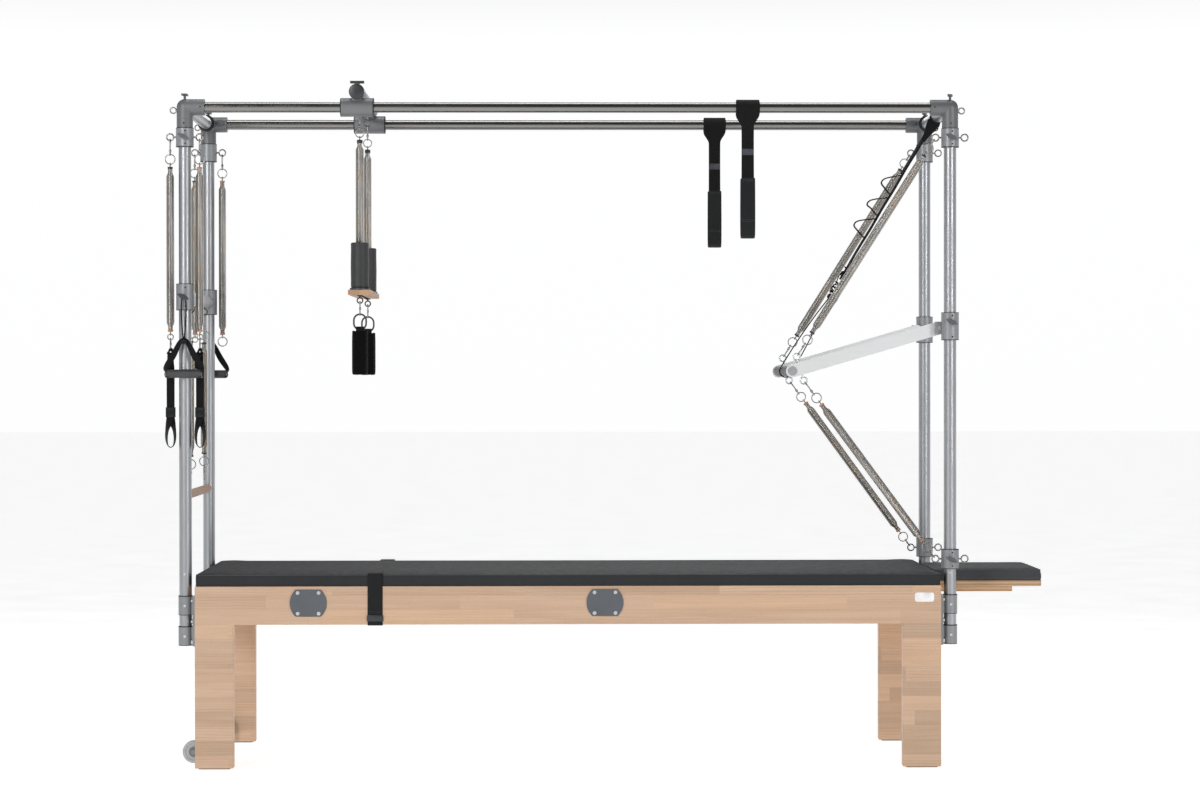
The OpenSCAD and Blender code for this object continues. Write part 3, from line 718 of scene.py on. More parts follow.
def strap(pts, width, thick, across, closed=False, round_edge=True, u0=0.0, segs=None):
    """A flat woven strap along a line, its width along `across`. Returns vertices, faces and (u, v) in metres."""
    pts = np.array(pts, float)
    n = len(pts)
    tan, b, side = frames(pts, closed, across)
    w, t = width / 2, thick / 2
    e = min(t * 0.9, 0.0012)
    prof = [(-w, -t * .4), (-w + e, -t), (-w * .5, -t), (0, -t), (w * .5, -t), (w - e, -t), (w, -t * .4),
            (w, t * .4), (w - e, t), (w * .5, t), (0, t), (-w * .5, t), (-w + e, t), (-w, t * .4)]
    k = len(prof)
    V, UV = [], []
    d = np.linalg.norm(np.diff(pts, axis=0), axis=1)
    u = np.concatenate([[0], np.cumsum(d)]) + u0
    for i in range(n):
        for a, c in prof:
            V.append(pts[i] + b[i] * a + side[i] * c)
            UV.append((u[i], a))
    F = []
    for i in range(n if closed else n - 1):
        j = (i + 1) % n
        for q in range(k):
            r = (q + 1) % k
            F.append((i * k + q, i * k + r, j * k + r, j * k + q))
    if not closed:
        F.append(tuple(range(k))[::-1])
        F.append(tuple((n - 1) * k + q for q in range(k)))
    return np.array(V), F, UV


def ribbon(pts, widths, thick, turns, closed=False, u0=0.0, normal=(0, 1, 0)):
    """A strap whose width and turn change along it. A turn of 0 lays the width square to `normal`, one of 90 lays it along."""
    pts = np.array(pts, float)
    n = len(pts)
    widths = np.broadcast_to(np.array(widths, float), (n,))
    turns = np.radians(np.broadcast_to(np.array(turns, float), (n,)))
    if closed:
        tan = np.roll(pts, -1, 0) - np.roll(pts, 1, 0)
    else:
        tan = np.gradient(pts, axis=0)
    tan /= np.linalg.norm(tan, axis=1)[:, None]
    N0 = np.array(normal, float)
    V, UV = [], []
    d = np.linalg.norm(np.diff(pts, axis=0), axis=1)
    u = np.concatenate([[0], np.cumsum(d)]) + u0
    k = 14
    for i in range(n):
        nn_ = N0 - tan[i] * np.dot(N0, tan[i])
        nn_ /= np.linalg.norm(nn_)
        pp = np.cross(nn_, tan[i])
        b = pp * math.cos(turns[i]) + nn_ * math.sin(turns[i])
        side = np.cross(b, tan[i])
        w, t = widths[i] / 2, thick / 2
        e = min(t * 0.9, 0.0012)
        for a, c in ((-w, -t * .4), (-w + e, -t), (-w * .5, -t), (0, -t), (w * .5, -t), (w - e, -t), (w, -t * .4),
                     (w, t * .4), (w - e, t), (w * .5, t), (0, t), (-w * .5, t), (-w + e, t), (-w, t * .4)):
            V.append(pts[i] + b * a + side * c)
            UV.append((u[i], a))
    F = []
    for i in range(n if closed else n - 1):
        j = (i + 1) % n
        for q in range(k):
            r = (q + 1) % k
            F.append((i * k + q, i * k + r, j * k + r, j * k + q))
    if not closed:
        F.append(tuple(range(k))[::-1])
        F.append(tuple((n - 1) * k + q for q in range(k)))
    return np.array(V), F, UV


def along(rows, steps=8, gap=0.004, closed=False):
    """Smooth a table of rows (x, y, z, other values), with every value kept in step."""
    rows = np.array(rows, float)
    fine = np.array(bezier(rows, steps, closed))
    xyz = fine[:, :3]
    if closed:
        xyz = np.vstack([xyz, xyz[:1]])
        fine = np.vstack([fine, fine[:1]])
    s = np.concatenate([[0], np.cumsum(np.linalg.norm(np.diff(xyz, axis=0), axis=1))])
    m = max(4, int(round(s[-1] / gap)))
    t = np.linspace(0, s[-1], m + 1)
    if closed:
        t = t[:-1]
    return np.stack([np.interp(t, s, fine[:, c]) for c in range(fine.shape[1])], axis=1)


def bezier(points, steps=12, closed=False):
    """A smooth line through points (Catmull-Rom)."""
    p = [np.array(q, float) for q in points]
    n = len(p)
    out = []
    rng = range(n) if closed else range(n - 1)
    for i in rng:
        if closed:
            a, b, c, d = p[(i - 1) % n], p[i], p[(i + 1) % n], p[(i + 2) % n]
        else:
            b, c = p[i], p[i + 1]
            a = p[i - 1] if i > 0 else 2 * b - c
            d = p[i + 2] if i + 2 < n else 2 * c - b
        for s in range(steps):
            t = s / steps
            out.append(0.5 * ((2 * b) + (-a + c) * t + (2 * a - 5 * b + 4 * c - d) * t * t + (-a + 3 * b - 3 * c + d) * t ** 3))
    if not closed:
        out.append(p[-1])
    return np.array(out)


def resample(pts, gap, closed=False):
    pts = np.array(pts, float)
    if closed:
        pts = np.vstack([pts, pts[:1]])
    d = np.concatenate([[0], np.cumsum(np.linalg.norm(np.diff(pts, axis=0), axis=1))])
    n = max(2, int(round(d[-1] / gap)) + (0 if closed else 1))
    s = np.linspace(0, d[-1], n + (1 if closed else 0))
    out = np.stack([np.interp(s, d, pts[:, i]) for i in range(3)], 1)
    return out[:-1] if closed else out


# ------------------------------------------------- main places, in metres
POST_X, POST_Y, RAIL_Z = 1.229, 0.320, 2.119
TOP_EYE, LOW_EYE, EYE_OUT = 2.023, 0.667, 0.047
PIVOT = np.array([1.197, 0.0, 1.411])
ARM_L, ARM_S, ARM_Y, ARM_A = 0.493, 0.467, 0.2867, math.radians(16.3)
CAR_X, TRAP_Y, TRAP_EYE, TRAP_TOP = -0.677, 0.200, 2.113, 2.023
BAR_Z, DOWEL_Z = 1.511, 0.875
GRIP = np.array([PIVOT[0] - ARM_L * math.cos(ARM_A), 0, PIVOT[2] - ARM_L * math.sin(ARM_A)])


def arm_eye(j, s):
    return np.array([PIVOT[0] - ARM_S * math.cos(ARM_A) - s * .040 * math.sin(ARM_A), j * ARM_Y,
                     PIVOT[2] - ARM_S * math.sin(ARM_A) + s * .040 * math.cos(ARM_A)])


# ------------------------------------------------------------------ springs
def local(v, P, u):
    """Local x, y, z to the row frame: -z runs along u, y stays near the row's Y."""
    u = np.array(u, float) / np.linalg.norm(u)
    ez = -u
    ey = np.array([0, 1.0, 0]) - ez * ez[1]
    ey /= np.linalg.norm(ey)
    ex = np.cross(ey, ez)
    v = np.array(v, float)
    return P + v[:, :1] * ex + v[:, 1:2] * ey + v[:, 2:3] * ez


def circle(c, R, plane, n=28, a0=0.0, a1=2 * pi, end=False):
    a = np.linspace(a0, a1, n, endpoint=end)
    z = np.zeros_like(a)
    p = {"xz": (np.cos(a) * R, z, np.sin(a) * R), "yz": (z, np.cos(a) * R, np.sin(a) * R), "xy": (np.cos(a) * R, np.sin(a) * R, z)}[plane]
    return np.stack(p, 1) + np.array(c)


def end_parts(g, R=0.0155, kind="snap"):
    """Hook and ring from an eye at the origin down to a spring that starts g below. Local coordinates."""
    rc = g - 0.0098 - R
    zr = -(rc - R)                      # top wire of the ring
    out = []
    out.append(tube(circle((0, 0, -rc), R, "xz", 40), 0.0018, 8, True))
    top = -0.0062
    if kind == "snap" and -zr > 0.040:
        eye = zr + 0.0020
        out.append(tube(circle((0, 0, eye), 0.0056, "yz", 20), 0.0019, 7, True))
        b0 = eye + 0.0056
        v, f = lathe([(0, b0 - .001), (.0034, b0 - .001), (.0042, b0 + .001), (.0042, b0 + .0065), (.003, b0 + .008), (0, b0 + .008)], "Z", 16)
        out.append((v, f))
        z0 = b0 + 0.0085
        w = 0.0062
        # hook body: up one side, round the top, part of the way down the other
        line = [(0, 0, z0 - .001), (0, -w * .55, z0 + .003), (0, -w, z0 + .009), (0, -w, top - .008), (0, -w * .72, top - .002),
                (0, 0, top), (0, w * .72, top - .002), (0, w, top - .008), (0, w * .95, top - .013)]
        out.append(tube(bezier(line, 6), 0.0021, 8))
        gate = [(0, w * .95, top - .0135), (0, w * .8, z0 + .008), (0, w * .35, z0 + .0015)]
        out.append(tube(bezier(gate, 6), 0.0013, 6))
        v, f = lathe([(0, -.0016), (.0018, -.0016), (.0018, .0016), (0, .0016)], "X", 10, (0, w * .9, (top + z0) / 2))
        out.append((v, f))
    else:
        lo = zr - 0.0039
        w = 0.0055
        a = circle((0, 0, top - w), w, "yz", 12, 0, pi, True)
        b = circle((0, 0, lo + w), w, "yz", 12, pi, 2 * pi, True)
        out.append(tube(resample(np.vstack([a, b]), 0.0022, True), 0.002, 8, True))
        v, f = lathe([(0, -.004), (.0031, -.004), (.0031, .004), (0, .004)], "Z", 12, (0, w, (top + lo) / 2))
        out.append((v, f))
    # the spring's own end loop
    out.append(tube(circle((0, 0, -rc - R - 0.0019), 0.0055, "yz", 18), 0.0018, 7, True))
    out.append(tube([(0, 0, -rc - R - 0.0065), (0, 0, -g - 0.004)], 0.0018, 7))
    return out


def coil_parts(A, B, r, wire, neck=0.008, band=0.0165, tap=0.0155, per=14, sides=6):
    """A close-wound coil from A to B, drawn in to a neck at both ends."""
    A, B = np.array(A, float), np.array(B, float)
    L = np.linalg.norm(B - A)
    u = (B - A) / L
    pitch = wire * 2.06
    turns = int(L / pitch)
    n = turns * per
    s = np.linspace(wire, L - wire, n)
    d = np.minimum(s, L - s)
    t = np.clip((d - band) / tap, 0, 1)
    t = t * t * (3 - 2 * t)
    R = neck + (r - neck) * t - wire
    ang = np.linspace(0, 2 * pi * turns, n)
    ey = np.array([0, 1.0, 0]) - u * u[1]
    ey /= np.linalg.norm(ey)
    ex = np.cross(ey, u)
    rad = np.cos(ang)[:, None] * ex + np.sin(ang)[:, None] * ey
    c = A + s[:, None] * u + rad * R[:, None]
    ph = np.linspace(0, 2 * pi, sides, endpoint=False)
    V = (c[:, None, :] + wire * (np.cos(ph)[None, :, None] * rad[:, None, :] + np.sin(ph)[None, :, None] * u)).reshape(-1, 3)
    i = np.arange(n - 1)[:, None] * sides
    k = np.arange(sides)[None, :]
    l = (k + 1) % sides
    F = np.stack([i + k, i + l, i + sides + l, i + sides + k], -1).reshape(-1, 4)
    F = [tuple(q) for q in F.tolist()]
    F.append(tuple(range(sides))[::-1])
    F.append(tuple((n - 1) * sides + q for q in range(sides)))
    return V, F


def band_parts(P, u, at, neck=0.008, length=0.0058):
    """A painted end cap sleeve round the neck."""
    pr = [(neck * .35, 0), (neck * .9, -.0001), (neck + .0009, -.0012), (neck + .0009, -length + .001), (neck + .0002, -length), (neck * .35, -length)]
    v, f = lathe(pr[::-1], "Z", 24)
    v[:, 2] -= at
    f = f + [tuple(range(24)), tuple(range(120, 144))[::-1]]
    return local(v, P, u), f


def full_spring(name, P, Q, g1, g2, r, wire, body, bands=("", ""), replaces=(), blend=None, neck=0.008, R1=0.0155, R2=0.0155, kinds=("snap", "snap")):
    P, Q = np.array(P, float), np.array(Q, float)
    L = np.linalg.norm(Q - P)
    u = (Q - P) / L
    made = []
    v, f = coil_parts(P + u * g1, Q - u * g2, r, wire, neck)
    made.append(make(name + "_coil", v, f, coil_steel, None))
    parts = [(local(a, P, u), b) for a, b in end_parts(g1, R1, kinds[0])]
    parts += [(local(a, Q, -u), b) for a, b in end_parts(g2, R2, kinds[1])]
    v, f = join_parts(parts)
    made.append(make(name + "_hooks", v, f, ring_steel, None))
    for k, (which, pt, d, g) in enumerate(((bands[0], P, u, g1), (bands[1], Q, -u, g2))):
        if which:
            v, f = band_parts(pt, d, g - .001, neck)
            made.append(make(f"{name}_band_{k + 1}", v, f, {"o": band_orange, "d": band_dark}[which], None))
    for o in made:
        if blend:
            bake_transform(o)
        else:
            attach(o, body)
    if replaces:
        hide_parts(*replaces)
    return made


for j, side in ((-1, "near"), (1, "far")):
    P = np.array([POST_X - EYE_OUT, j * POST_Y, TOP_EYE])
    Q = arm_eye(j, 1)
    full_spring(f"upper_spring_{side}", P, Q, .067, .090, .0134, .0015, None, ("d", "d"), ("upper_springs",) if j < 0 else (),
                ("root", "push_bar", tuple(P), tuple(Q)), kinds=("link", "snap"))
    P, Q = arm_eye(j, -1), np.array([POST_X - EYE_OUT, j * POST_Y, LOW_EYE])
    full_spring(f"lower_spring_{side}", P, Q, .095, .071, .0134, .0015, None, ("o", "o"), ("lower_springs",) if j < 0 else (),
                ("push_bar", "root", tuple(P), tuple(Q)), kinds=("snap", "link"))
    # roll-down bar
    full_spring(f"roll_spring_{side}", (-POST_X, j * .180, BAR_Z - .036), (-POST_X, j * .180, DOWEL_Z + .0274), .104, .093, .0123, .0014,
                "roll_down", ("d", "d"), ("roll_springs",) if j < 0 else ())
    # trapeze
    P = np.array([CAR_X, j * TRAP_Y, TRAP_EYE])
    v, f = coil_parts(P - (0, 0, TRAP_EYE - TRAP_TOP), (CAR_X, j * TRAP_Y, 1.556), .0138, .0016, .0085)
    o = make(f"trapeze_spring_{side}_coil", v, f, coil_steel, "trapeze", ("trapeze_springs",) if j < 0 else ())
    v, f = join_parts([(local(a, P, (0, 0, -1)), b) for a, b in end_parts(TRAP_EYE - TRAP_TOP, .0135, "snap")])
    make(f"trapeze_spring_{side}_hooks", v, f, ring_steel, "trapeze")
    v, f = band_parts(P, (0, 0, -1), TRAP_EYE - TRAP_TOP - .002, .0085, .012)
    make(f"trapeze_spring_{side}_band", v, f, band_dark, "trapeze")

EYE_LOW = 0.640
for num, x, j, bands in ((1, -POST_X - EYE_OUT, -1, "do"), (2, -POST_X + EYE_OUT, -1, "oo"), (3, -POST_X - EYE_OUT, 1, "do"), (4, -POST_X + EYE_OUT, 1, "oo")):
    body = f"hanging_spring_{num}"
    P = np.array([x, j * POST_Y, TOP_EYE])
    v, f = coil_parts(P - (0, 0, .096), P - (0, 0, .625), .0130, .00135, .0080)
    make(body + "_coil", v, f, coil_steel, body, (body,))
    parts = end_parts(.096)
    low = .0155 if num == 4 else .009    # the free spring by the bench ends in a large ring
    parts.append(tube(circle((0, 0, -.631 - low), low, "xz", 36), .0018, 8, True))
    parts.append(tube(circle((0, 0, -.6305), .0042, "yz", 16), .0016, 7, True))
    parts.append(tube([(0, 0, -.6275), (0, 0, -.620)], .0018, 7))
    v, f = join_parts([(local(a, P, (0, 0, -1)), b) for a, b in parts])
    make(body + "_hooks", v, f, ring_steel, body)
    for k, (which, at) in enumerate(zip(bands, (.095, .6165))):
        v, f = band_parts(P, (0, 0, -1), at, .0078)
        make(f"{body}_band_{k + 1}", v, f, {"o": band_orange, "d": band_dark}[which], body)


# --------------------------------------------------------------- CAD nodes
def paint(node, mat, bevel=0.0, segs=2, angle=40):
    o = NODES[node]
    o.data.materials.clear()
    o.data.materials.append(mat)
    if bevel:
        w = o.modifiers.new("weld", "WELD")
        w.merge_threshold = 0.00002
        b = o.modifiers.new("edge", "BEVEL")
        b.width, b.segments, b.limit_method, b.angle_limit = bevel, segs, "ANGLE", math.radians(angle)
        b.harden_normals = False
    return o


paint("side_panel_near", beech, 0.0025, 3)
paint("side_panel_far", beech, 0.0025, 3)
paint("cross_members", beech_end, 0.002, 2)
paint("deck", plywood)
paint("foot_pads", foot_rubber)
paint("badge_plates", plate_grey)
paint("badge_screws", bright)
paint("post_brackets", bracket_grey)
paint("bracket_bolts", bright)
paint("posts", post_alu)
paint("rails", rail_steel)
paint("top_crossbars", bar_alu)
paint("corner_fittings", elbow_grey)
paint("bumper_rings", gasket)
paint("top_collars", collar_grey)
paint("low_collars", collar_grey)
paint("pivot_collars", collar_grey)
paint("fixed_eyebolts", eye_steel)
paint("clamp_knobs", knob_grey)
paint("wheel_brackets", bracket_grey)
paint("push_arms", arm_alu)
paint("push_tube", post_alu)
paint("push_bar_bolts", bright, .0009, 3)
paint("carriage_frame", carriage_grey)
paint("carriage_eyebolts", dark_steel)
paint("lock_pin", knob_plastic)
paint("trapeze_board", trapeze_wood, 0.003, 3)
paint("trapeze_bolts", knob_plastic)
paint("spring_bar", collar_grey)
paint("spring_bar_fittings", knob_plastic)
paint("roll_bar", dowel)
paint("wheel_near", wheel_grey)
paint("wheel_far", wheel_grey)
paint("leaf_board", plywood, 0.002, 2)


# ------------------------------------------------------------- foam grips
def foam_tube(name, centre, axis, half, r, bore, mat, body, nodes=(), edge=.0035, lump=.0003, steps=40):
    """Foam sleeve: rounded ends that are slightly dished, and a faint unevenness along its length."""
    hs = list(np.linspace(-half + edge, half - edge, max(8, int(2 * half / .009))))
    prof = [(bore, -half + .0022), (bore + (r - bore) * .35, -half + .0010), (r - edge * .9, -half)]
    prof += [(r - edge * (1 - math.sin(a)), -half + edge * (1 - math.cos(a))) for a in np.linspace(.2, pi / 2, 6)[:-1]]
    prof += [(r - lump + lump * math.sin(h * 53 + r * 900) * math.sin(h * 19 + 1.3), h) for h in hs]
    prof += [(r - edge * (1 - math.sin(a)), half - edge * (1 - math.cos(a))) for a in np.linspace(.2, pi / 2, 6)[:-1][::-1]]
    prof += [(r - edge * .9, half), (bore + (r - bore) * .35, half - .0010), (bore, half - .0022)]
    v, f = lathe_ring(prof, axis, steps, centre)
    o = make(name, v, f, mat, body, nodes)
    return o


foam_tube("push_foam", GRIP, "Y", .276, .017, .0125, foam, "push_bar", ("push_grip",), .003)
for j, side in ((-1, "near"), (1, "far")):
    foam_tube(f"trapeze_foam_{side}", (CAR_X, j * TRAP_Y, 1.6175), "Z", .0735, .030, .0140, foam, "trapeze", ("trapeze_foams",) if j < 0 else (), .006, .0004, 48)
    foam_tube(f"handle_foam_{side}", (-POST_X, j * .3575, 1.265), "X", .0555, .014, .0081, foam_dark, f"handle_{side}", (f"handle_{side}_grip",), .004)


# ------------------------------------------------------------ straps, soft
def tab_box(name, c, size, mat, body, bevel=0.0006):
    """A small stitched or moulded block with rounded edges."""
    bm = bmesh.new()
    bmesh.ops.create_cube(bm, size=1.0)
    for v in bm.verts:
        v.co = Vector((v.co.x * size[0], v.co.y * size[1], v.co.z * size[2])) + Vector(c)
    bmesh.ops.subdivide_edges(bm, edges=bm.edges[:], cuts=2, use_grid_fill=True)
    bmesh.ops.bevel(bm, geom=[e for e in bm.edges if e.calc_face_angle(0) > 1], offset=bevel, segments=2, profile=0.5, affect="EDGES")
    me = bpy.data.meshes.new(name)
    bm.to_mesh(me)
    bm.free()
    me.materials.append(mat)
    layer = me.uv_layers.new(name="strap")
    co = np.array([v.co for v in me.vertices], np.float32)
    vi = np.zeros(len(me.loops), np.int32)
    me.loops.foreach_get("vertex_index", vi)
    # the thinnest direction is the strap's thickness
    o = np.argsort(size)
    layer.data.foreach_set("uv", co[vi][:, [int(o[2]), int(o[1])]].astype(np.float32).ravel())
    ob = bpy.data.objects.new(name, me)
    scene.collection.objects.link(ob)
    smooth_by_angle(ob, 50)
    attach(ob, body)
    return ob


def stitches(a, b, n, r=0.00035, lift=(0, 0, 0)):
    """A run of short thread stitches from a to b."""
    a, b = np.array(a, float) + lift, np.array(b, float) + lift
    parts = []
    for i in range(n):
        p, q = a + (b - a) * (i + .15) / n, a + (b - a) * (i + .85) / n
        parts.append(tube([p, (p + q) / 2, q], r, 5))
    return parts


def strap_piece(name, pts, width, thick, across, mat, body, replaces=(), closed=False, blend=None):
    v, f, uv = strap(pts, width, thick, across, closed)
    o = make(name, v, f, mat, body, replaces, True, uv)
    smooth_by_angle(o, 60)
    return o


# hand cuffs under the trapeze board
def oval(c, w, h, plane, n=36):
    """A rounded-rectangle loop, w wide and h high, about c."""
    r = w / 2
    a = circle((c[0], c[1], c[2] + h / 2 - r), r, plane, n // 2, 0, pi, True)
    b = circle((c[0], c[1], c[2] - h / 2 + r), r, plane, n // 2, pi, 2 * pi, True)
    return np.vstack([a, b])


for j, side in ((-1, "near"), (1, "far")):
    body = f"cuff_{side}"
    y = j * TRAP_Y
    # strap loop of padded fleece: two runs hanging from a fold, closed at the foot
    zt, zb, hw, t = 1.403, 1.2635, 0.0145, 0.0088
    line = [(CAR_X, y - .003, zt), (CAR_X, y - .0075, zt - .010), (CAR_X, y - hw, zt - .030), (CAR_X, y - hw - .001, zt - .075), (CAR_X, y - hw, zb + .020),
            (CAR_X, y - .009, zb + .006), (CAR_X, y, zb + .0025), (CAR_X, y + .009, zb + .006),
            (CAR_X, y + hw, zb + .020), (CAR_X, y + hw + .001, zt - .075), (CAR_X, y + hw, zt - .030), (CAR_X, y + .0075, zt - .010), (CAR_X, y + .003, zt)]
    pts = resample(bezier(line, 10), 0.0035)
    v, f, uv = strap(pts, 0.043, t, (1, 0, 0))
    o = make(f"cuff_{side}_pad", v, f, fleece, None, (), True, uv)
    md = o.modifiers.new("s", "SUBSURF")
    md.levels = md.render_levels = 1
    apply_mods(o)
    # uneven pile, so that the fleece isn't a machined shape
    me = o.data
    nn = len(me.vertices)
    co = np.zeros(nn * 3)
    me.vertices.foreach_get("co", co)
    co = co.reshape(-1, 3)
    no = np.zeros(nn * 3)
    me.vertices.foreach_get("normal", no)
    no = no.reshape(-1, 3)
    wob = np.sin(co[:, 2] * 310 + co[:, 1] * 190) * np.cos(co[:, 1] * 420 + co[:, 0] * 150 + j) * 0.0006
    co += no * wob[:, None]
    me.vertices.foreach_set("co", co.ravel())
    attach(o, body)
    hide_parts(body)
    # binding tape down both edges of the pad
    for e, k in ((-1, "a"), (1, "b")):
        p2 = pts.copy()
        p2[:, 0] = CAR_X + e * 0.0205
        v, f = tube(p2, 0.0046, 8)
        make(f"cuff_{side}_binding_{k}", v, f, cordage, body)
    # webbing tab that holds the pad's top to the oval ring
    loop = bezier([(CAR_X, y, 1.388), (CAR_X, y - .0045, 1.402), (CAR_X, y - .0052, 1.412), (CAR_X, y, 1.4175), (CAR_X, y + .0052, 1.412), (CAR_X, y + .0045, 1.402)], 7, True)
    strap_piece(f"cuff_{side}_tab", loop, 0.026, 0.0022, (1, 0, 0), webbing, body, closed=True)
    # black oval ring in the XZ plane and its link to the eyebolt
    v, f = tube(oval((CAR_X, y, 1.4335), .040, .050, "xz"), .003, 10, True)
    make(f"cuff_{side}_ring", v, f, knob_plastic, body)
    v, f = join_parts([tube(oval((CAR_X, y, 1.4775), .0125, .0455, "yz", 24), .002, 8, True),
                       lathe([(0, -.0045), (.0032, -.0045), (.0032, .0045), (0, .0045)], "Z", 12, (CAR_X, y + .00625, 1.4775))])
    make(f"cuff_{side}_link", v, f, ring_steel, body)

# handles on the movable cross bar: cord, webbing triangle, end rings
for j, side in ((-1, "near"), (1, "far")):
    body = f"handle_{side}"
    x0, y = -POST_X, j * .3575
    zt = BAR_Z + .0058
    run = [(x0, y, zt), (x0 + .0050, y, zt - .003), (x0 + .0058, y, zt - .014), (x0 + .0078, y, BAR_Z - .045), (x0 + .0034, y, BAR_Z - .118),
           (x0, y, BAR_Z - .1335), (x0 - .0034, y, BAR_Z - .118), (x0 - .0078, y, BAR_Z - .045), (x0 - .0058, y, zt - .014), (x0 - .0050, y, zt - .003)]
    v, f = tube(resample(bezier(run, 8, True), .004, True), .0022, 7, True)
    make(f"handle_{side}_cord", v, f, cordage, body)
    gz = 1.265
    w = .0586
    apex = BAR_Z - .1365
    tri = [(x0, y, apex + .0035), (x0 - .006, y, apex - .001), (x0 - .014, y, apex - .012), (x0 - .034, y, apex - .052), (x0 - w + .001, y, gz + .020), (x0 - w - .0005, y, gz + .006),
           (x0 - w - .0005, y, gz - .005), (x0 - w + .004, y, gz - .0115), (x0 - w + .0115, y, gz - .0095)]
    tri2 = [(2 * x0 - p[0], p[1], p[2]) for p in tri]
    turns = [(60, .010), (45, .013), (25, .017), (18, .021), (45, .023), (82, .0235), (90, .0235), (90, .022), (90, .021)]
    ra = along([p + (w_, t_) for p, (t_, w_) in zip(tri, turns)], 8, .003)
    rb = along([p + (w_, t_) for p, (t_, w_) in zip(tri2, turns)], 8, .003)
    va, fa, ua = ribbon(ra[:, :3], ra[:, 3], .0024, ra[:, 4])
    vb, fb, ub = ribbon(rb[:, :3], rb[:, 3], .0024, rb[:, 4], u0=.2)
    V, F = join_parts([(va, fa), (vb, fb)])
    o = make(f"handle_{side}_webbing", V, F, webbing, body, (f"handle_{side}_strap",), True, list(ua) + list(ub))
    smooth_by_angle(o, 60)
    # stitched wrap where both runs meet under the cord
    tab_box(f"handle_{side}_wrap", (x0, y, apex - .0085), (.0205, .0262, .0125), webbing, body, .0012)
    parts = []
    for dz in (-.004, -.0085, -.013):
        for s in (-1, 1):
            parts += stitches((x0 - .008, y + s * .0133, apex + dz), (x0 + .008, y + s * .0133, apex + dz), 5)
    v, f = join_parts(parts)
    make(f"handle_{side}_stitching", v, f, thread, body)
    parts = []
    for s in (-1, 1):
        prof = [(.0072, -.0012), (.0128, -.0012), (.0136, -.0004), (.0136, .0004), (.0128, .0012), (.0072, .0012)]
        parts.append(lathe_ring(prof, "X", 28, (x0 + s * .0569, y, gz)))
    v, f = join_parts(parts)
    make(f"handle_{side}_rings", v, f, ring_steel, body)

# foot loops of webbing under two of the hanging springs
for num, x in ((1, -POST_X - EYE_OUT), (2, -POST_X + EYE_OUT)):
    body = f"foot_loop_{num}"
    y, z0 = -POST_Y, TOP_EYE - .640
    v, f = join_parts([tube(oval((x, y, z0 - .0223), .011, .0354, "yz", 24), .002, 8, True),
                       lathe([(0, -.004), (.0031, -.004), (.0031, .004), (0, .004)], "Z", 12, (x, y + .0055, z0 - .022))])
    make(f"{body}_link", v, f, ring_steel, body)
    zt, zb = z0 - .042, z0 - .3535
    half = []
    for dx, dy, z, w_, t_ in ((.0, .0, zt + .003, .010, 70), (.0040, .0020, zt - .004, .010, 60), (.0062, .0030, zt - .016, .010, 40), (.0035, .0030, zt - .034, .015, 20), (.0, .0026, zt - .050, .0235, 3),
                              (.0, .0024, zt - .075, .025, 0), (.0, .0022, zt - .13, .025, 0), (.0, .0020, zb + .128, .025, 0), (.0, .0020, zb + .100, .025, 2), (.0042, .0024, zb + .082, .025, 26),
                              (.0108, .0020, zb + .058, .025, 56), (.0135, .0010, zb + .034, .025, 66), (.0118, .0, zb + .014, .025, 74), (.0065, .0, zb + .003, .025, 84)):
        half.append((dx, dy, z, w_, t_))
    rows = [(x + a_, y + b_, z, w_, t_) for a_, b_, z, w_, t_ in half]
    rows.append((x, y, zb - .0005, .025, 90))
    rows += [(x - a_, y - b_, z, w_, 180 - t_) for a_, b_, z, w_, t_ in half[:0:-1]]
    r_ = along(rows, 8, .004)
    # both ends meet inside the knot at the top
    v, f, uv = ribbon(r_[:, :3], r_[:, 3], .0026, r_[:, 4])
    o = make(f"{body}_webbing", v, f, webbing, body, (body,), True, uv)
    smooth_by_angle(o, 60)
    # the pinched knot under the link and the sewn keeper above the opening
    knot = along([(x - .004, y - .006, zt + .004), (x + .006, y - .004, zt - .002), (x + .007, y + .004, zt - .010), (x - .003, y + .006, zt - .013), (x - .008, y - .001, zt - .007),
                  (x - .002, y - .007, zt - .001), (x + .005, y - .002, zt + .005)], 8, .002)
    v, f, uv = ribbon(knot[:, :3], .011, .0034, 50, normal=(0, 0, 1))
    o = make(f"{body}_knot", v, f, webbing, body, (), True, uv)
    smooth_by_angle(o, 60)
    kp = along([(x - .0120, y - .0052, zb + .112), (x + .0120, y - .0052, zb + .112), (x + .0142, y - .003, zb + .112), (x + .0142, y + .003, zb + .112), (x + .0120, y + .0052, zb + .112),
                (x - .0120, y + .0052, zb + .112), (x - .0142, y + .003, zb + .112), (x - .0142, y - .003, zb + .112)], 6, .0015, True)
    v, f, uv = ribbon(kp[:, :3], .032, .0016, 90, True, normal=(0, 0, 1))
    o = make(f"{body}_keeper", v, f, belt_web, body, (), True, uv)
    smooth_by_angle(o, 60)
    parts = []
    for s_ in (-1, 1):
        for zz in (zb + .099, zb + .103, zb + .121, zb + .125):
            parts += stitches((x - .0110, y + s_ * .0063, zz), (x + .0110, y + s_ * .0063, zz), 7)
    v, f = join_parts(parts)
    make(f"{body}_stitching", v, f, thread, body)

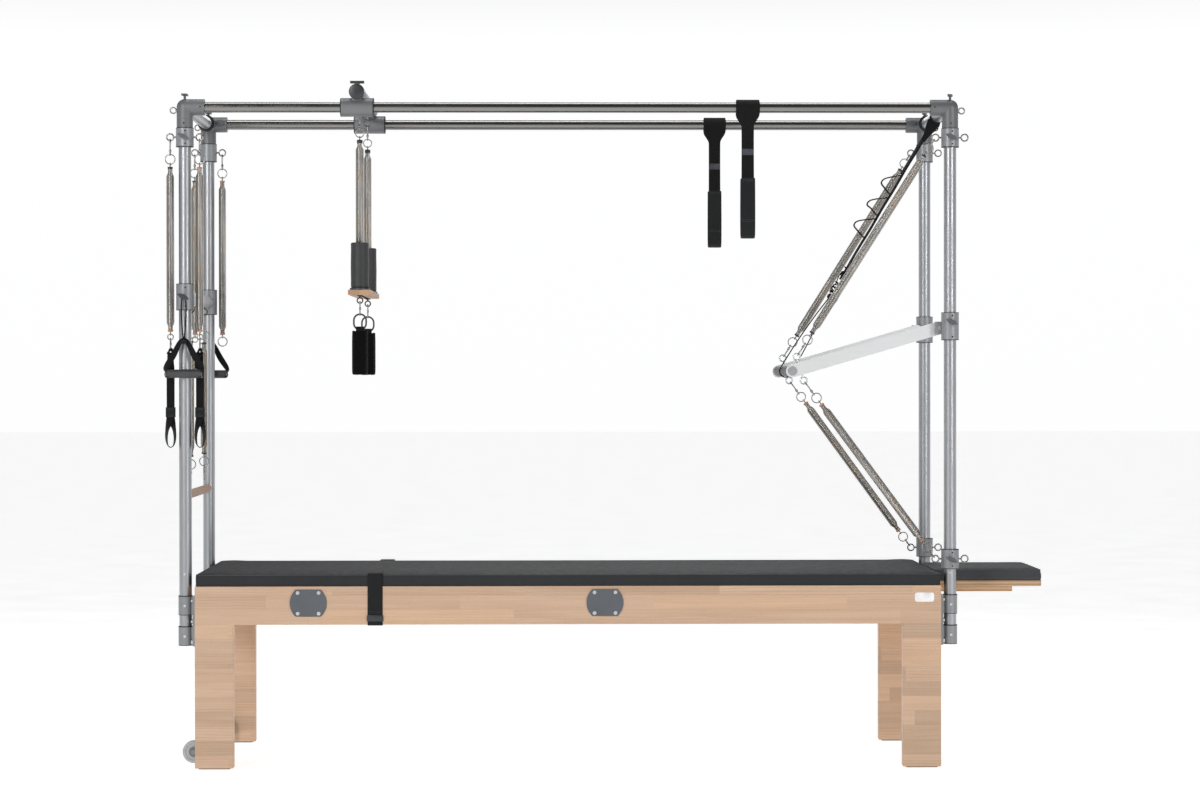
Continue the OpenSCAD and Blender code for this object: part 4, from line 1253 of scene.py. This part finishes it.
# straps hanging from the long rails
for x, j, side in ((.577, -1, "near"), (.506, 1, "far")):
    sbody, body = f"rail_sleeve_{side}", f"rail_strap_{side}"
    y = j * POST_Y
    # neoprene sleeve on the rail: edges bound, slightly waisted under the strap
    pr = []
    for s, r in ((-.0385, .0189), (-.0365, .0203), (-.030, .0206), (-.021, .0204), (-.012, .0199), (0, .0198), (.012, .0199), (.021, .0204), (.030, .0206), (.0365, .0203), (.0385, .0189)):
        pr.append((r, s))
    prof = pr + [(.01755, .0385), (.01755, -.0385)]
    v, f = lathe_ring(prof, "X", 44, (x, y, RAIL_Z))
    make(f"{sbody}_sleeve", v, f, cordage, sbody, (sbody,))
    # long loop round the sleeve: wide webbing in two runs, pinched under the rail, padded at the foot
    R = .0243
    zb = 1.7010
    top = [(x, y + R * math.cos(a), RAIL_Z + R * math.sin(a)) for a in np.linspace(-.15 * pi, 1.15 * pi, 26)]
    side_a = [(x, y - .0205, RAIL_Z - .030), (x, y - .0165, 2.060), (x, y - .0125, 2.01), (x, y - .0150, 1.93), (x, y - .0235, 1.84), (x, y - .0255, 1.78), (x, y - .0240, 1.735),
              (x, y - .0175, zb + .010), (x, y, zb + .0015)]
    side_b = [(x, 2 * y - p[1], p[2]) for p in side_a[:-1]][::-1]
    line = np.vstack([top, side_a, side_b])
    loop = resample(bezier(line, 4, True), .005, True)
    hgt = np.clip((loop[:, 2] - (RAIL_Z - .062)) / .040, 0, 1)
    v, f, uv = ribbon(loop, .038 + .036 * hgt * hgt * (3 - 2 * hgt), .0030, 90, True, normal=(1, 0, 0))
    o = make(f"{body}_webbing", v, f, webbing, body, (body,), True, uv)
    smooth_by_angle(o, 60)
    # padded sleeve over the lower half
    lowline = [(x, y - .0185, 1.894), (x, y - .0215, 1.86), (x, y - .0256, 1.80), (x, y - .0258, 1.765), (x, y - .0240, 1.733), (x, y - .0172, zb + .0085), (x, y, zb + .0005),
               (x, y + .0172, zb + .0085), (x, y + .0240, 1.733), (x, y + .0258, 1.765), (x, y + .0256, 1.80), (x, y + .0215, 1.86), (x, y + .0185, 1.894)]
    pts = resample(bezier(lowline, 8), .005)
    v, f, uv = strap(pts, .0455, .0068, (1, 0, 0))
    o = make(f"{body}_pad", v, f, belt_web, None, (), True, uv)
    md = o.modifiers.new("s", "SUBSURF")
    md.levels = md.render_levels = 1
    apply_mods(o)
    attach(o, body)
    # grey sewn tab and its stitching on both faces
    tab_box(f"{body}_tab_out", (x, y - .0150, 1.976), (.0375, .0030, .0200), tab_grey, body, .0008)
    tab_box(f"{body}_tab_in", (x, y + .0150, 1.976), (.0375, .0030, .0200), tab_grey, body, .0008)
    parts = []
    for s in (-1, 1):
        yy = y + s * .0168
        for zz in (1.9685, 1.9835):
            parts += stitches((x - .0165, yy, zz), (x + .0165, yy, zz), 9)
        for xx in (-.0165, .0165):
            parts += stitches((x + xx, yy, 1.9685), (x + xx, yy, 1.9835), 5)
        for zz in (1.882, 1.887, 1.752, 1.757):
            dy = {1.882: .0232, 1.887: .0227, 1.752: .0292, 1.757: .0293}[zz]
            parts += stitches((x - .020, y + s * dy, zz), (x + .020, y + s * dy, zz), 11)
    v, f = join_parts(parts)
    make(f"{body}_stitching", v, f, thread, body)

# belt round the bench, with its buckle under the near edge
bx, bw = -.619, .048
hy, zt, zb = .365, .624, .462
g = .0016
rr = .004


def rounded_rect(y0, y1, z0, z1, r, x, n=6):
    pts = []
    for cy, cz, a0 in ((y1 - r, z1 - r, 0), (y0 + r, z1 - r, pi / 2), (y0 + r, z0 + r, pi), (y1 - r, z0 + r, 1.5 * pi)):
        pts += [(x, cy + r * math.cos(a0 + a), cz + r * math.sin(a0 + a)) for a in np.linspace(0, pi / 2, n)]
    return pts


belt = rounded_rect(-hy - g, hy + g, zb - g, zt + g, rr, bx)
belt = np.array(belt)
dense = []
for a, b in zip(belt, np.roll(belt, -1, 0)):
    n = max(1, int(np.linalg.norm(b - a) / .012))
    dense += [a + (b - a) * i / n for i in range(n)]
strap_piece("body_belt_webbing", dense, bw, .0024, (1, 0, 0), belt_web, "root", ("body_belt",), closed=True)
bz = zb - .004
tab_box("body_belt_keeper", (bx, -hy - .0036, .483), (bw + .004, .0032, .020), knob_plastic, "root", .0008)
tab_box("body_belt_tail", (bx + .0, -hy - .0033, .4685), (bw - .006, .0022, .014), belt_web, "root", .0006)
parts = []
for zz in (.500, .505):
    parts += stitches((bx - .021, -hy - .0031, zz), (bx + .021, -hy - .0031, zz), 11)
v, f = join_parts(parts)
make("body_belt_stitching", v, f, thread, "root")


# -------------------------------------------------------------------- pads
def soft_pad(name, x0, x1, y0, y1, z0, z1, r, body, node, mat, crown=0.0012, cap=0.0022, gap=0.012):
    """A foam pad in a vinyl cover: loops of one outline from the middle of the underside, round the sides, to the middle of the top."""
    cx, cy = (x0 + x1) / 2, (y0 + y1) / 2
    hx, hy2 = (x1 - x0) / 2, (y1 - y0) / 2
    line = []
    for ax, ay, a0 in ((hx - r, hy2 - r, 0), (-hx + r, hy2 - r, pi / 2), (-hx + r, -hy2 + r, pi), (hx - r, -hy2 + r, 1.5 * pi)):
        for a in np.linspace(0, pi / 2, 7):
            line.append((ax + r * math.cos(a0 + a), ay + r * math.sin(a0 + a), 0))
    line = np.array(line)
    out = []
    for a, b in zip(line, np.roll(line, -1, 0)):
        n = max(1, int(round(np.linalg.norm(b - a) / gap)))
        out += [a + (b - a) * i / n for i in range(n)]
    O = np.array(out)
    m = min(hx, hy2)
    spine = O.copy()
    if hx >= hy2:
        spine[:, 0] = np.clip(O[:, 0], -(hx - m), hx - m)
        spine[:, 1] = 0
    else:
        spine[:, 1] = np.clip(O[:, 1], -(hy2 - m), hy2 - m)
        spine[:, 0] = 0
    inward = spine - O
    dist = np.linalg.norm(inward, axis=1)
    inward /= dist[:, None]
    h = z1 - z0
    rows = []          # (inset in metres or share of the way in, height, kind)
    for s in (0.97, 0.8, 0.6, 0.4, 0.2, 0.1):
        rows.append(("f", s, 0.0))
    for inset, z in ((.010, .0), (.004, .0003), (.0012, .002), (.0003, .007), (.0, .014), (.0, .020), (.0, h - .013), (.0002, h - .008), (.0006, h - .0045),
                     (.0014, h - .0022), (.0032, h - .0009), (.0065, h - .0002), (.012, h), (.022, h + crown * .3), (.040, h + crown * .55), (.065, h + crown * .75)):
        rows.append(("m", inset, z))
    for s in (0.3, 0.42, 0.55, 0.7, 0.85, 0.97):
        if s * m > 0.069:
            rows.append(("f", s, h + crown))
    V = []
    for kind, a, z in rows:
        p = O + inward * (a if kind == "m" else (dist * a)[:, None])
        p = p.copy()
        p[:, 2] = z
        V.append(p)
    n = len(O)
    V = np.concatenate(V) + np.array((cx, cy, z0))
    F = []
    for i in range(len(rows) - 1):
        for k in range(n):
            l = (k + 1) % n
            F.append((i * n + k, i * n + l, (i + 1) * n + l, (i + 1) * n + k))
    # the two middles: strips from each point to the point opposite
    flip = np.array((1, -1, 1)) if hx >= hy2 else np.array((-1, 1, 1))
    opp = [int(np.argmin(np.linalg.norm(O - O[k] * flip, axis=1))) for k in range(n)]
    side = 1 if hx >= hy2 else 0
    for base, up in ((0, False), ((len(rows) - 1) * n, True)):
        for k in range(n):
            l = (k + 1) % n
            if O[k][side] < -1e-9 or O[l][side] < -1e-9:
                continue
            q = []
            for i in (k, l, opp[l], opp[k]):
                if base + i not in q:
                    q.append(base + i)
            if len(q) > 2:
                F.append(tuple(q) if up else tuple(q[::-1]))
    o = make(name, V, F, mat, None)
    me = o.data
    rest = V.copy()
    # the cover is taut over its foam: a short cloth run lets it settle, held underneath
    g_ = o.vertex_groups.new(name="held")
    g_.add([i for i in range(len(me.vertices)) if me.vertices[i].co.z < z0 + .003], 1.0, "REPLACE")
    md = o.modifiers.new("cloth", "CLOTH")
    st = md.settings
    st.quality = 5
    st.mass = 0.4
    st.tension_stiffness = st.compression_stiffness = 25
    st.shear_stiffness = 8
    st.bending_stiffness = 2
    st.use_pressure = True
    st.uniform_pressure_force = 3.0
    st.vertex_group_mass = "held"
    st.effector_weights.gravity = 0
    md.collision_settings.use_collision = False
    md.point_cache.frame_start, md.point_cache.frame_end = 1, 16
    for fr in range(1, 17):
        scene.frame_set(fr)
    dg = bpy.context.evaluated_depsgraph_get()
    ev = o.evaluated_get(dg).to_mesh()
    co = np.zeros(len(ev.vertices) * 3)
    ev.vertices.foreach_get("co", co)
    co = co.reshape(-1, 3)
    o.evaluated_get(dg).to_mesh_clear()
    o.modifiers.clear()
    o.vertex_groups.clear()
    scene.frame_set(1)
    d = co - rest
    d[~np.isfinite(d).all(1)] = 0
    far = np.linalg.norm(d, axis=1)
    d *= np.minimum(1, cap / np.maximum(far, 1e-9))[:, None]
    me.vertices.foreach_set("co", (rest + d).ravel())
    me.update()
    # seam welt along the top edge, on the settled surface; its lighter grey is a painted highlight along the edge
    row = 15
    co = np.array([v.co for v in me.vertices])[row * n:(row + 1) * n]
    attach(o, body)
    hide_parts(node)
    pts = co + np.array((0, 0, .0001))
    v, f = tube(pts, .0010, 6, True)
    w = make(name + "_seam", v, f, seam_highlight_mat, body)
    return o, n


# The welt is a lighter grey than the cover: a painted highlight along the pad's top edge.
seam_highlight_mat = make_vinyl("pad_seam_highlight", "#55575A", 2.0)
pad, pad_n = soft_pad("bench_pad", -1.195, 1.195, -.365, .365, .5853, .624, .016, "root", "mat_pad", vinyl)
leafp, leaf_n = soft_pad("leaf_cushion", 1.1970, 1.550, -.178, .178, .5872, .624, .014, "end_leaf", "leaf_pad", leaf_vinyl_painted_light, .0008)


# ----------------------------------------- safety strap to the push bar
C = np.array((POST_X, 0, RAIL_Z))
GC = GRIP.copy()
D = GC - C
LEN = np.linalg.norm(D)
D = D / LEN
NRM = np.array((-D[2], 0, D[0]))
if NRM[0] > 0:
    NRM = -NRM          # towards -X, the side on which the pockets hang


def at(s, off=0.0, y=0.0):
    p = C + D * s + NRM * off
    p[1] += y
    return p


ang0 = math.atan2(-D[2], -D[0])
loop = []
for a in np.linspace(0.42, 2 * pi - 0.42, 26):
    d = D * math.cos(a) + NRM * math.sin(a)
    loop.append(C + d * .0222)
loop = [at(.060, .0015)] + loop + [at(.060, -.0015)]
v, f, uv = strap(resample(bezier(loop, 3), .004), .025, .0022, (0, 1, 0))
o = make("safety_strap_choke", v, f, webbing, None, (), True, uv)
smooth_by_angle(o, 60)
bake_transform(o)
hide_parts("safety_strap")
# the webbing fans out where it leaves the choke, then narrows
r_ = along([tuple(at(s_, -.0005, -.0138)) + (w_,) for s_, w_ in ((.012, .036), (.026, .044), (.045, .036), (.068, .022), (.095, .013))], 8, .003)
v, f, uv = ribbon(r_[:, :3], r_[:, 3], .0030, 6)
o = make("safety_strap_fan", v, f, webbing, None, (), True, uv)
smooth_by_angle(o, 60)
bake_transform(o)
body_line = [at(s, .0006 * math.sin(s * 40)) for s in np.linspace(.050, .630, 60)]
v, f, uv = ribbon(body_line, .017, .0026, 66)
o = make("safety_strap_tape", v, f, webbing, None, (), True, uv)
smooth_by_angle(o, 60)
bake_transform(o)
tail = [at(s, .0034) for s in np.linspace(.062, .225, 18)]
v, f, uv = ribbon(tail, .020, .0028, 68)
o = make("safety_strap_doubling", v, f, webbing, None, (), True, uv)
smooth_by_angle(o, 60)
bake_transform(o)
# three sewn pockets that sag away from the tape
V, F, UV, base = [], [], [], 0
for s0, s1, drop, outw in ((.228, .302, .018, .046), (.314, .384, .018, .050), (.396, .470, .030, .052)):
    # heights measured square to the tape, with the sag towards the floor
    p = [at(s0, .0022), at(s0 + .006, .010), at(s0 + .022, outw * .62), at(s0 + .040, outw * .98), at(s0 + .056, outw * 1.0), at(s1 - .010, outw * .66), at(s1 - .004, .016), at(s1, .0024)]
    line = resample(bezier(p, 8), .003)
    v, f, uv = ribbon(line, .010, .0024, 72, u0=s0)
    V.append(v)
    F += [tuple(i + base for i in q) for q in f]
    UV += uv
    base += len(v)
o = make("safety_strap_pockets", np.concatenate(V), F, webbing, None, (), True, UV)
smooth_by_angle(o, 60)
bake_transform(o)
# knots at the tape's end, with a short loose tail
parts = []
for s0, k1, k2, size in ((.602, 3, 5, .013), (.662, 4, 3, .015), (.690, 3, 4, .012)):
    t_ = np.linspace(0, 2 * pi, 90, endpoint=False)
    pts = np.array([at(s0 + size * 1.25 * math.sin(q), size * .62 * math.sin(k1 * q + .6), size * .55 * math.cos(k2 * q)) for q in t_])
    parts.append(tube(pts, .0022, 7, True))
for rows_ in (((.600, .004, -.004), (.622, .010, -.008), (.648, .006, -.009), (.668, .011, -.006), (.694, .003, -.004)),
              ((.690, -.004, -.005), (.676, -.014, -.006), (.668, -.020, -.006), (.690, -.026, -.005), (.716, -.024, -.004), (.742, -.020, -.004))):
    r_ = along([tuple(at(*q)) for q in rows_], 8, .003)
    parts.append(tube(r_, .0019, 7))
v, f = join_parts(parts)
o = make("safety_strap_knots", v, f, cordage, None)
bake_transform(o)
# thin cord from the link, round the grip and back
R = .0172 + .0026
s_end = LEN
c0 = at(.692, 0, -.003)
rows = [c0]
for s, off, y in ((.72, .003, -.003), (.76, .008, -.0035), (.82, .0135, -.004), (.88, .0175, -.004), (.94, R * .985, -.004)):
    rows.append(at(s, off, y))
for a in np.linspace(.5 * pi, -.5 * pi, 15):
    d = D * math.cos(a) + NRM * math.sin(a)
    t = (0.5 * pi - a) / pi
    q = GC + d * R
    q[1] += -.004 + .008 * t
    rows.append(q)
for s, off, y in ((.94, -R * .985, .004), (.88, -.0175, .004), (.82, -.0135, .004), (.76, -.008, .0035), (.72, -.003, .003)):
    rows.append(at(s, off, y))
rows.append(at(.692, 0, .003))
line = resample(bezier(rows, 6), .004)
v, f = tube(line, .002, 8)
o = make("safety_cord", v, f, cordage, None)
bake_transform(o)
tuple(line[0])
[tuple(p) for p in line]


# ------------------------------------------------------ small trim pieces
def rings(name, items, mat, body):
    """Thin gaskets round posts: (centre, axis, inner, outer, thickness)."""
    parts = []
    for c, ax, ri, ro, t in items:
        e = min(t * .35, (ro - ri) * .35)
        prof = [(ri, -t / 2), (ro - e, -t / 2), (ro, -t / 2 + e), (ro, t / 2 - e), (ro - e, t / 2), (ri, t / 2)]
        parts.append(lathe_ring(prof, ax, 40, c))
    v, f = join_parts(parts)
    o = make(name, v, f, mat, body)
    smooth_by_angle(o, 35)
    return o


def dots(name, items, r, mat, body):
    """Domed screw heads with a socket: (centre, axis, sign)."""
    parts = []
    for c, ax, sg in items:
        prof = [(r, 0), (r, .0006), (r * .8, .0014), (r * .45, .0017), (r * .42, .0006), (0, .0006)]
        prof = [(a, b * sg) for a, b in prof]
        v, f = lathe([(0, -.001 * sg)] + [(r, -.001 * sg)] + prof, ax, 20, c)
        parts.append((v, f))
    v, f = join_parts(parts)
    o = make(name, v, f, mat, body)
    smooth_by_angle(o, 35)
    return o


cr = .0285
items = []
for i in (-1, 1):
    for j in (-1, 1):
        items += [((i * POST_X, j * POST_Y, z), "Z", .0204, cr + .0004, .0022) for z in (1.9925, 2.0515)]
for j in (-1, 1):
    items += [((POST_X, j * POST_Y, z), "Z", .0204, cr + .0004, .0022) for z in (.6365, .6975, 1.3725, 1.4595)]
rings("collar_gaskets", items, gasket, "root")
items = [((-POST_X, j * POST_Y, BAR_Z + z), "Z", .0206, cr + .0004, .0022) for j in (-1, 1) for z in (-.0415, .0415)]
rings("spring_bar_gaskets", items, gasket, "spring_bar")
items = [((CAR_X + s * .0515, j * POST_Y, RAIL_Z), "X", .0178, .0303, .0042) for s in (-1, 1) for j in (-1, 1)]
rings("carriage_wipers", items, gasket, "carriage")
items = [((i * POST_X, j * POST_Y, z), "Z", .0204, .0234, .0024) for i in (-1, 1) for j in (-1, 1) for z in (.3945, .4545, .4925, .5525)]
rings("bracket_gaskets", items, gasket, "root")
# set screws beside the wing screws
items = []
for i in (-1, 1):
    for j in (-1, 1):
        items += [((i * POST_X + .004, j * (POST_Y + cr - .0004), z), "Y", j) for z in (2.0015, 2.0425)]
for j in (-1, 1):
    items += [((POST_X + .004, j * (POST_Y + cr - .0004), z), "Y", j) for z in (.6455, .6885, 1.3815, 1.4505)]
for i in (-1, 1):
    for j in (-1, 1):
        items += [((i * POST_X - i * .052, j * (POST_Y + .0256), RAIL_Z), "Y", j), ((i * POST_X, j * (POST_Y + .0256), RAIL_Z - .052), "Y", j)]
dots("set_screws", items, .0026, gasket, "root")
items = [((-POST_X + .004, j * (POST_Y + cr - .0004), BAR_Z + z), "Y", j) for j in (-1, 1) for z in (-.030, .030)]
dots("spring_bar_screws", items, .0026, gasket, "spring_bar")


# domed end caps of the carriage's cross tube
parts = []
for j in (-1, 1):
    prof = [(.0246, 0), (.0246, .0026), (.0236, .0042), (.019, .0056), (.012, .0064), (.0055, .0067), (.005, .0060), (0, .0060)]
    v, f = lathe([(0, -.002 * j)] + [(.0246, -.002 * j)] + [(a, b * j) for a, b in prof], "Y", 40, (CAR_X, j * .3520, 2.167))
    parts.append((v, f))
v, f = join_parts(parts)
o = make("carriage_caps", v, f, knob_plastic, "carriage")
smooth_by_angle(o, 35)


def plain_plate(name, x, y, z, w, h, t, r, mat, body):
    pts = []
    for cx_, cz_, a0 in ((w / 2 - r, h / 2 - r, 0), (-w / 2 + r, h / 2 - r, pi / 2), (-w / 2 + r, -h / 2 + r, pi), (w / 2 - r, -h / 2 + r, 1.5 * pi)):
        pts += [(x + cx_ + r * math.cos(a0 + a), z + cz_ + r * math.sin(a0 + a)) for a in np.linspace(0, pi / 2, 7)]
    n = len(pts)
    V = [(p[0], y, p[1]) for p in pts] + [(p[0], y - t, p[1]) for p in pts]
    F = [tuple(range(n)), tuple(range(n, 2 * n))[::-1]] + [(k, (k + 1) % n, n + (k + 1) % n, n + k) for k in range(n)]
    o = make(name, V, F, mat, None)
    bevelled(o, t * .35, 2)
    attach(o, body)
    return o


plain_plate("plain_plate", 1.141, -.365, .547, .062, .030, .0016, .008, white_plate, "root")
for o in ("badge_plates",):
    paint(o, plate_grey, .0008, 2)

# ------------------------------------------------------------------- floor
me = bpy.data.meshes.new("floor")
s = 60
N_ = 24
V = [(x, y, 0) for y in np.linspace(-s, s, N_) for x in np.linspace(-s, s, N_)]
F = [(j * N_ + i, j * N_ + i + 1, (j + 1) * N_ + i + 1, (j + 1) * N_ + i) for j in range(N_ - 1) for i in range(N_ - 1)]
me.from_pydata(V, [], F)
floor = bpy.data.objects.new("floor", me)
scene.collection.objects.link(floor)
fl = Mat("floor_pale", rough=0.75, spec=0.25)
n_ = fl.noise(fl.at(), 2.5, 4, 0.6)
tone_ = fl.ramp(n_, [(0.3, (0.46, 0.46, 0.463, 1)), (0.7, (0.49, 0.49, 0.49, 1))])
fl.colour(tone_)
fl.put(tone_, fl.b.inputs["Emission Color"])
fl.b.inputs["Emission Strength"].default_value = 1.7
me.materials.append(fl.m)

bpy.context.view_layer.update()
